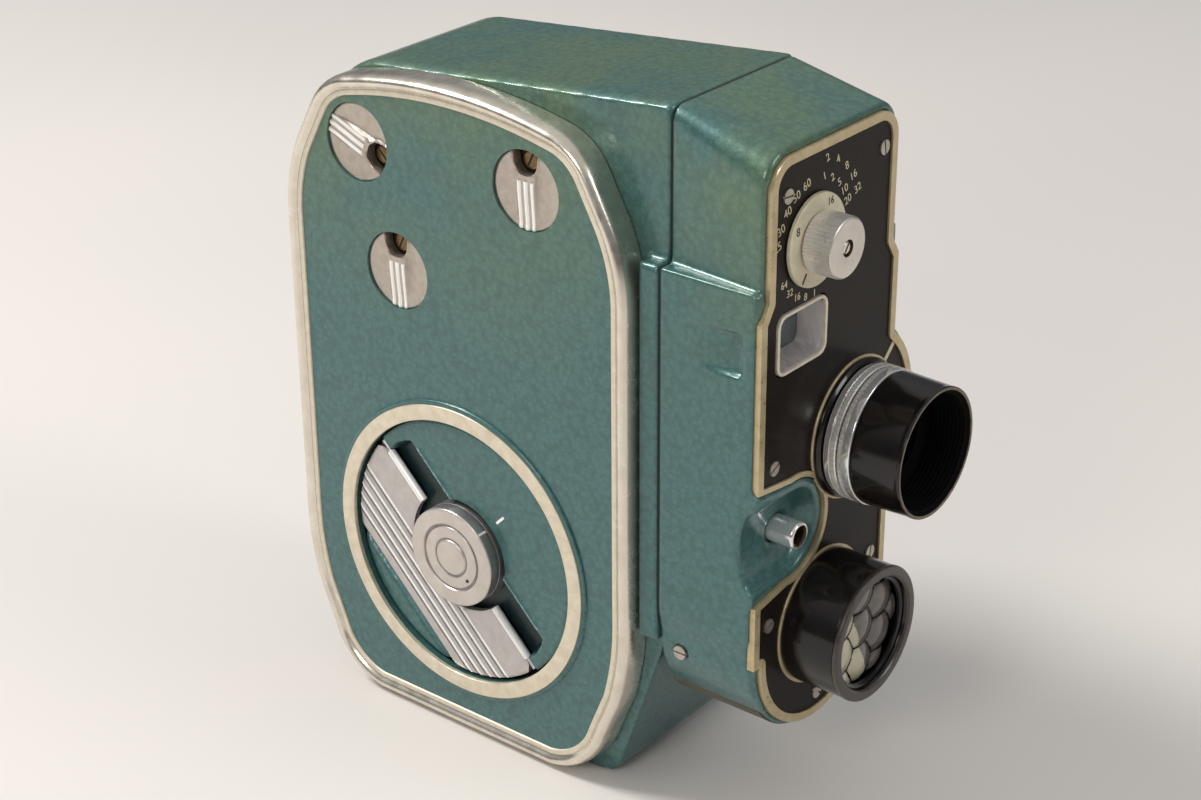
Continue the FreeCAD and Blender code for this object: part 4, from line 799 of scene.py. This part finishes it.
# ---------------------------------------------------------------- thumb discs
def thumb_disc(name):
    y0, z0, mouth = THUMBS[name]
    turn = math.radians(mouth)
    face = -COVER_FACE + 0.35
    radius, opening, at = 6.6, 2.35, 4.75
    ribs = (-1.35, 0.0, 1.35)

    def place(u, v, h):
        return h, y0 + u * math.cos(turn) - v * math.sin(turn), z0 + u * math.sin(turn) + v * math.cos(turn)

    def spans(v):
        outer = math.sqrt(max(1e-4, radius * radius - v * v))
        last = at - math.sqrt(opening * opening - v * v) if abs(v) < opening else outer
        return [(-outer, min(last, outer))]

    def height(u, v):
        edge = math.hypot(u, v)
        top = face + 0.42 - 0.40 * (edge / radius) ** 2
        ramp = smooth(u, -7.0, 1.5)
        bar_top = face + 0.16 - 0.42 * ramp
        on_bar = 1 - smooth(abs(v), 1.75, 2.25)
        on_bar *= 1 - smooth(u, 2.4, 3.4)
        top += (min(top, bar_top) - top) * on_bar
        for rib in ribs:
            away = abs(v - rib) / 0.42
            if away < 1.0 and on_bar > 0:
                top -= 0.20 * math.cos(away * math.pi / 2) * on_bar * (1 - smooth(u, 0.9, 2.0))
        to_mouth = math.hypot(u - at, v)
        top -= 0.42 * (1 - smooth(to_mouth, opening + 0.05, opening + 0.75)) * smooth(abs(v), 0.3, 1.6)
        return top + 0.12 * smooth(edge, radius - 0.3, radius)

    rows = [-6.595 + 13.19 * i / 96 for i in range(97)]
    verts, faces = sliced_plate(rows, spans, height, face + 1.55, 40)
    # band 1 along the ribs is a painted highlight
    bands = []
    for f in faces:
        u = middle(verts, f, 0)
        v = middle(verts, f, 1)
        on_rib = any(abs(v - rib) < 0.36 for rib in ribs) and u < 1.5
        bands.append(1 if on_rib and max(verts[i][2] for i in f) < face + 0.6 else 0)
    verts = [place(u, v, h) for u, v, h in verts]
    body = THUMB_BODY[name]
    add_piece(name + "_face", mesh_of(name + "_face", verts, faces, ["bright_steel", "white_mark_and_painted_highlight"], bands),
        body, "bright_steel", (name,), sharp=48.0)
    screw = place(at - 0.1, 0.0, 0.0)[1:]
    # the screw's dark brass is painted shade of the recessed mouth
    lathe(name + "_screw", "X", screw, [(0.0, face + 1.05), (1.45, face + 1.05, 0.25),
        (1.7, face + 1.62, 0.05), (0.0, face + 1.62)], ["brass"], body, "bright_steel", closed=False,
        segments=40)
    across = Vector((0.0, -math.sin(turn), math.cos(turn)))
    along = Vector((0.0, math.cos(turn), math.sin(turn)))
    slot_at = Vector((face + 1.06, *screw))
    bar(name + "_slot", slot_at, [(1, 0, 0), (along + across * 0.5).normalized(),
        (across - along * 0.5).normalized()], (0.05, 1.35, 0.17), "seam_black", body, "bright_steel",
        bevel=0.02)


for thumb in THUMBS:
    thumb_disc(thumb)


# ---------------------------------------------------------------- lens
def gold_line(name, centre, outer):
    """The thin gold line where a tube meets the front plate."""
    proud = PLATE_Y - 0.3
    lathe(name, "Y", centre, [(11.2, PLATE_Y), (11.2, proud, 0.05), (outer, proud, 0.15), (outer, PLATE_Y)],
          ["gold"], "case", "black_satin", segments=128)


def lens():
    gold_line("lens_gold_line", LENS, 11.95)
    lathe("lens_barrel_body", "Y", LENS, [(11.55, PLATE_Y + 0.02, 0.0), (11.55, PLATE_Y - 0.85, 0.15),
        (11.0, -60.68, 0.1), (9.15, -60.68, 0.0), (9.15, -65.65, 0.1), (7.25, -65.65, 0.1),
        (7.25, -53.9, 0.0), (9.15, -53.9, 0.0), (9.15, PLATE_Y + 0.02, 0.0)], ["black_satin"], "case",
        "black_satin", ("lens_barrel",), segments=128)
    lathe("aperture_ring_band", "Y", LENS, [(9.26, -61.02, 0.0, 0), (10.95, -61.02, 0.12, 2),
        (11.15, -62.10, 0.05, 0), (10.9, -62.2, 0.03, 1), (10.9, -62.32, 0.03, 0),
        (11.19, -62.38, 0.0, 0, True), (11.19, -63.1, 0.0, 0, True), (10.95, -63.28, 0.0, 0),
        (9.26, -63.28, 0.0, 0)], ["knurled_chrome", "dark_steel", "polished_chrome"], "aperture",
        "knurled_chrome", ("aperture_ring",), teeth=84, depth=0.2)
    lathe("focus_ring_band", "Y", LENS, [(9.26, -63.62, 0.0, 0), (10.95, -63.62, 0.0, 0),
        (11.19, -63.72, 0.0, 0, True), (11.19, -64.28, 0.0, 0, True), (10.92, -64.34, 0.03, 1),
        (10.92, -64.46, 0.03, 2), (11.17, -64.55, 0.08, 2), (11.17, -65.80, 0.12, 2),
        (10.9, -65.88, 0.05, 0), (9.26, -65.88, 0.0, 0)], ["knurled_chrome", "dark_steel",
        "polished_chrome"], "focus", "knurled_chrome", ("focus_ring",), teeth=84, depth=0.2)
    inner = []
    for index in range(9):
        t = -67.9 - index * 0.72
        inner += [(9.85, t, 0.0, 1), (9.62, t - 0.3, 0.0, 1)]
    profile = [
        (6.5, -65.92, 0.0, 1), (10.95, -65.92, 0.1, 0), (10.98, -66.3, 0.1, 0), (10.75, -73.9, 0.2, 0),
        (10.82, -74.35, 0.12, 0), (10.78, -74.79, 0.12, 2), (10.25, -74.79, 0.08, 1), (9.95, -74.2, 0.1, 1),
    ]
    profile += [(r, t, 0.0, band) for r, t, _fillet, band in reversed(inner)]
    profile += [(9.85, -67.62, 0.1, 1), (6.5, -67.4, 0.1, 1)]
    # band 2, the bronze line on the rim, is a painted highlight
    lathe("lens_hood_shell", "Y", LENS, profile, ["black_satin", "black_rough", "hood_rim_painted_highlight"], "focus",
          "black_satin", ("lens_hood",), segments=128)
    lens_glass("front_element", -65.55, 7.1, 24.0, -63.5, "coated_glass")


def lens_glass(name, front, radius, curve, back, key):
    """A planoconvex element, crown to the front."""
    profile = []
    for index in range(13):
        r = radius * index / 12
        profile.append((r, front + curve - math.sqrt(curve * curve - r * r)))
    profile += [(radius, back), (0.0, back)]
    lathe(name, "Y", LENS, profile, [key], "case", "lens_glass", closed=False, segments=80)


lens()


# ---------------------------------------------------------------- meter cell
def meter_cell():
    front = -70.3
    gold_line("cell_gold_line", CELL, 11.85)
    lathe("cell_tube_body", "Y", CELL, [(11.38, PLATE_Y + 0.02, 0.0), (11.38, front + 0.95, 0.1),
        (10.2, front + 0.95, 0.0), (10.2, PLATE_Y + 0.02, 0.0)], ["black_satin"], "case", "black_satin",
        ("cell_tube",), segments=128)
    lathe("cell_flange_ring", "Y", CELL, [
        (9.35, front + 0.88, 0.1, 1), (11.45, front + 0.88, 0.1, 0), (11.48, front + 0.3, 0.15, 0),
        (11.3, front + 0.01, 0.15, 0), (9.9, front + 0.01, 0.12, 0), (9.6, front + 0.3, 0.05, 1),
    ], ["brown_flange", "black_satin"], "case", "brown_flange", ("cell_flange",), segments=128)
    lathe("cell_inner_step", "Y", CELL, [(8.9, front + 1.3, 0.05), (9.5, front + 1.0, 0.1),
        (10.15, front + 1.0, 0.0), (10.15, front + 1.8, 0.0), (8.9, front + 1.8, 0.05)], ["black_satin"],
        "case", "black_satin", segments=128)
    radius, pitch, ball = 9.4, 6.3, 4.4
    centres = [(0.0, 0.0)]
    for away, shift in ((pitch, 0.5), (pitch * math.sqrt(3), 0)):
        centres += [(away * math.cos(TURN * (k + shift) / 6), away * math.sin(TURN * (k + shift) / 6))
                    for k in range(6)]

    def spans(v):
        outer = math.sqrt(max(1e-4, radius * radius - v * v))
        return [(-outer, outer)]

    def height(u, v):
        nearest = min(math.hypot(u - a, v - b) for a, b in centres)
        return -(math.sqrt(max(0.2, ball * ball - nearest * nearest)) - 2.2) * 0.7

    rows = [-9.395 + 18.79 * i / 84 for i in range(85)]
    verts, faces = sliced_plate(rows, spans, height, 0.9, 84)
    # band 2, warm pale glass on one side, is a painted highlight
    bands = []
    for face in faces:
        u, v = (middle(verts, face, k) for k in (0, 1))
        near = sorted(math.hypot(u - a, v - b) for a, b in centres)[:2]
        # band 1 paints shade into the creases between the cells
        bands.append(1 if near[1] - near[0] < 0.4 else 2 if u < -1.6 - 0.35 * v else 0)
    base = front + 3.45
    verts = [(CELL[0] + u, base + h * 0.72, CELL[1] + v) for u, v, h in verts]
    add_piece("cell_lenslets", mesh_of("cell_lenslets", verts, faces,
        ["cell_glass", "black_satin", "cell_glass_painted_highlight"], bands), "case", "cell_glass",
        ("cell_honeycomb_glass",), sharp=24.0)


meter_cell()


# ---------------------------------------------------------------- speed dial
def speed_dial():
    face = PLATE_Y - 0.9
    lathe("speed_dial_disc", "Y", DIAL, [(1.6, PLATE_Y - 0.16, 0.0), (1.6, face + 0.02, 0.0),
        (7.35, face + 0.02, 0.2), (7.38, PLATE_Y - 0.16, 0.1)], ["cream_dial"], "speed", "cream_dial",
        ("speed_dial",), segments=128)
    front = PLATE_Y - 6.1
    lathe("speed_knob_grip", "Y", DIAL, [(0.0, front + 0.75, 0.0, 2), (1.2, front + 0.75, 0.0, 2),
        (1.25, front + 0.02, 0.12, 0), (4.55, front + 0.02, 0.25, 1), (4.85, front + 0.42, 0.0, 1, True),
        (4.87, front + 4.7, 0.0, 1, True), (4.6, front + 5.05, 0.05, 1), (1.5, front + 5.1, 0.0, 1),
        (1.45, -51.6, 0.0, 1), (0.0, -51.6, 0.0, 1)], ["knob_face", "knurled_chrome", "dark_steel"],
        "speed", "knurled_chrome", ("speed_knob",), closed=False, teeth=46, depth=0.4)
    lathe("speed_knob_screw", "Y", DIAL, [(0.0, front + 0.22), (0.9, front + 0.22, 0.15),
        (1.12, front + 0.5, 0.05), (1.12, front + 0.8), (0.0, front + 0.8)], ["nickel"], "speed", "nickel",
        closed=False, segments=40)
    bar("speed_knob_slot", (DIAL[0], front + 0.22, DIAL[1]), [(0, 1, 0), (0.6, 0, 0.8), (0.8, 0, -0.6)],
        (0.06, 0.85, 0.13), "seam_black", "speed", "nickel", bevel=0.02)
    numeral("dial_number_a", "8", DIAL, 6.2, 152.0, 1.9, "dial_ink", "speed", face)
    numeral("dial_number_b", "16", DIAL, 6.1, 62.0, 1.7, "dial_ink", "speed", face)
    angle = math.radians(236.0)
    out = Vector((math.cos(angle), 0.0, math.sin(angle)))
    bar("dial_pointer", Vector((DIAL[0], face, DIAL[1])) + out * 6.2,
        [(0, 1, 0), out, out.cross(Vector((0, 1, 0)))], (0.05, 0.9, 0.16), "dial_ink", "speed",
        "cream_dial", bevel=0.02)


def numeral(name, words, centre, reach, angle, size, key, body, y, tilt=0.0):
    """A plain number, printed a hair proud of a face that looks along -Y."""
    text = bpy.data.curves.new(name, "FONT")
    text.body = words
    text.size = size * MM
    text.extrude = 0.03 * MM
    text.align_x = "CENTER"
    text.align_y = "CENTER"
    holder = linked(bpy.data.objects.new(name + "_text", text))
    bpy.context.view_layer.update()
    mesh = bpy.data.meshes.new_from_object(holder.evaluated_get(bpy.context.evaluated_depsgraph_get()))
    bpy.data.objects.remove(holder)
    mesh.name = name
    a = math.radians(angle)
    cx, cz = centre[0] + reach * math.cos(a), centre[1] + reach * math.sin(a)
    t = math.radians(tilt)
    for vertex in mesh.vertices:
        u, v, w = vertex.co
        vertex.co = (cx * MM + u * math.cos(t) - v * math.sin(t), y * MM - w,
                     cz * MM + u * math.sin(t) + v * math.cos(t))
    mesh.materials.clear()
    mesh.materials.append(M[key])
    return add_piece(name, mesh, body, "gold" if key == "gold_ink" else "cream_dial")


speed_dial()


def plate_numbers():
    """Two arcs of plain numbers round the dial, and a short row under it."""
    y = PLATE_Y - 0.01
    left = [("60", 104.0), ("50", 121.0), ("40", 138.0), ("30", 155.0), ("25", 171.0)]
    right = [("1", 76.0), ("2", 62.0), ("5", 48.0), ("10", 35.0), ("20", 22.0)]
    low = [("64", 214.0), ("32", 229.0), ("16", 244.0), ("8", 259.0), ("1", 274.0)]
    for word, rows, size in (("left", left, 2.0), ("right", right, 1.9), ("low", low, 1.7)):
        for index, (words, angle) in enumerate(rows):
            numeral("plate_number_%s_%d" % (word, index), words, DIAL, 9.5 if word != "low" else 9.0, angle,
                size, "gold_ink", "case", y, tilt=20.0 if word != "low" else 0.0)
            if word == "right":
                numeral("plate_number_outer_%d" % index, str(2 ** (index + 1)), DIAL, 12.3, angle, size,
                    "gold_ink", "case", y, tilt=20.0)


plate_numbers()
bar("lens_index_mark", (17.6, PLATE_Y, 75.9), [(0, 1, 0), (0.72, 0, 0.69), (0.69, 0, -0.72)],
    (0.12, 1.75, 0.42), "gold_ink", "case", "gold", bevel=0.05)


# ---------------------------------------------------------------- viewfinder window
def rounded_rectangle_path(centre, size, radius):
    w, h = size[0] / 2, size[1] / 2
    nook = radius * (1 - math.sqrt(0.5))
    cx, cz = centre
    steps = []
    for sx, sz in ((1, 1), (-1, 1), (-1, -1), (1, -1)):
        mid = (cx + sx * (w - nook), cz + sz * (h - nook))
        top, side = (cx + sx * (w - radius), cz + sz * h), (cx + sx * w, cz + sz * (h - radius))
        first, last = (side, top) if sx * sz > 0 else (top, side)
        if steps:
            steps.append((first,))
        steps.append((mid, last))
    start = (cx + w, cz + h - radius)
    return path_of(start, steps + [(start,)], 0.6)[:-1]


def finder():
    w, h = FINDER_SIZE
    y = PLATE_Y

    def place(a, b, t):
        return a, t, b

    sweep("finder_frame_band", rounded_rectangle_path(FINDER, (w - 1.6, h - 1.6), 1.5), place, [
        (-0.1, y + 0.9, 0), (-0.1, y - 0.3, 0), (0.0, y - 0.42, 0), (0.28, y - 0.42, 0), (0.4, y - 0.28, 0),
        (0.4, y + 0.9, 0)], ["nickel_flat"], "case", "nickel", ("finder_frame",))
    verts, count = [], 64
    rings = [(w - 1.9, h - 1.9, y + 0.2, 0.0), (w - 3.0, h - 3.0, y + 1.6, -0.2),
             (w - 4.6, h - 4.4, y + 3.6, -0.5)]
    outside = [(w - 4.0, h - 3.8, y + 3.6, -0.5), (w - 1.7, h - 1.7, y + 0.2, 0.0)]
    for rw, rh, ry, shift in rings + outside:
        for index in range(count):
            angle = TURN * index / count
            c, s = math.cos(angle), math.sin(angle)
            k = 1.0 / (abs(c) ** 6 + abs(s) ** 6) ** (1 / 6)
            verts.append((FINDER[0] + shift + c * k * rw / 2, ry, FINDER[1] + s * k * rh / 2))
    faces = ring_faces(len(rings + outside), count)
    add_piece("finder_recess", mesh_of("finder_recess", verts, faces, ["recess_grey"]), "case",
        "black_satin", sharp=30.0)


finder()


# ---------------------------------------------------------------- release button and eyepiece
def button_and_eyepiece():
    lathe("release_button_cap", "Y", BUTTON, [(0.0, -58.35, 0.0, 1), (1.5, -58.35, 0.0, 1),
        (1.5, -61.0, 0.1, 1), (1.72, -61.28, 0.1, 0), (2.1, -61.28, 0.2, 0), (2.28, -60.9, 0.1, 0),
        (2.28, -53.05, 0.0, 0), (1.05, -53.02, 0.0, 0), (1.05, -46.65, 0.0, 0), (0.0, -46.65, 0.0, 0)],
        ["polished_chrome", "dark_steel"], "release", "knurled_chrome", ("release_button",), closed=False,
        segments=72)
    back = 36.3
    lathe("eyepiece_ring", "Y", EYEPIECE, [(3.05, back + 0.05, 0.0), (5.35, back + 0.05, 0.0),
        (5.35, back + 1.55, 0.45), (4.2, back + 1.72, 0.2), (3.1, back + 1.0, 0.2)], ["black_plastic"],
        "case", "black_plastic", ("finder_eyepiece",), segments=96)


button_and_eyepiece()


# ---------------------------------------------------------------- stage, lights and camera
def floor():
    mat, nodes, links = start_material("studio_floor")
    shader = nodes["Principled BSDF"]
    cloud = noise_at(nodes, links, 260.0, detail=1.0)
    coloured(nodes, links, shader, cloud, (0.70, 0.665, 0.64), (0.74, 0.705, 0.665), (0.55, 0.65))
    mesh = bpy.data.meshes.new("studio_floor")
    s, drop = 6.0, -0.0002
    mesh.from_pydata([(-s, -s, drop), (s, -s, drop), (s, s, drop), (-s, s, drop)], [], [(0, 1, 2, 3)])
    mesh.materials.append(mat)
    plane = linked(bpy.data.objects.new("studio_floor", mesh))


def area_light(name, position, target, size, power, colour):
    light = bpy.data.lights.new(name, "AREA")
    light.shape = "RECTANGLE"
    light.size, light.size_y = size
    light.energy = power
    light.color = colour
    lamp = linked(bpy.data.objects.new(name, light))
    lamp.location = position
    lamp.rotation_mode = "QUATERNION"
    lamp.rotation_quaternion = (Vector(target) - Vector(position)).to_track_quat("-Z", "Y")


def world():
    sky = bpy.data.worlds.new("studio")
    bpy.context.scene.world = sky
    sky.use_nodes = True
    nodes, links = sky.node_tree.nodes, sky.node_tree.links
    back = nodes["Background"]
    where = nodes.new("ShaderNodeTexCoord")
    split = nodes.new("ShaderNodeSeparateXYZ")
    links.new(where.outputs["Generated"], split.inputs["Vector"])
    rise = range_of(nodes, links, split.outputs["Z"], 0.0, 1.0, -0.1, 1.0)
    links.new(ramp_of(nodes, links, rise, [(0.0, (0.60, 0.58, 0.55)), (0.12, (0.16, 0.16, 0.17)),
                                           (0.40, (0.34, 0.35, 0.38)), (0.75, (1.0, 0.99, 0.97)),
                                           (1.0, (1.0, 1.0, 1.0))]),
              back.inputs["Color"])
    back.inputs["Strength"].default_value = 0.55


def camera():
    data = bpy.data.cameras.new("camera")
    data.sensor_fit = "HORIZONTAL"
    data.sensor_width = 36.0
    data.lens = 72.75
    data.clip_start, data.clip_end = 0.01, 50.0
    cam = linked(bpy.data.objects.new("camera", data))
    cam.location = Vector((-284.6, -244.6, 238.8)) * MM
    right = Vector((0.6266, -0.7793, -0.0064)).normalized()
    forward = Vector((0.6987, 0.5654, -0.4383)).normalized()
    up = right.cross(forward).normalized()
    right = forward.cross(up).normalized()
    rotation = bpy.data.objects["camera"].matrix_world.to_3x3()
    for row in range(3):
        rotation[row][0], rotation[row][1], rotation[row][2] = right[row], up[row], -forward[row]
    cam.rotation_mode = "QUATERNION"
    cam.rotation_quaternion = rotation.to_quaternion()
    bpy.context.scene.camera = cam


floor()
world()
area_light("key_light", (-0.28, 0.52, 0.78), (0.0, -0.01, 0.06), (0.26, 0.26), 7.0, (1.0, 0.98, 0.95))
area_light("front_light", (0.20, -0.80, 0.50), (0.0, -0.02, 0.06), (0.30, 0.25), 1.8, (0.95, 0.97, 1.0))
area_light("side_light", (-0.85, -0.15, 0.55), (0.0, 0.0, 0.06), (0.30, 0.25), 2.2, (1.0, 0.97, 0.93))
camera()
bpy.context.scene.view_settings.view_transform = "Standard"
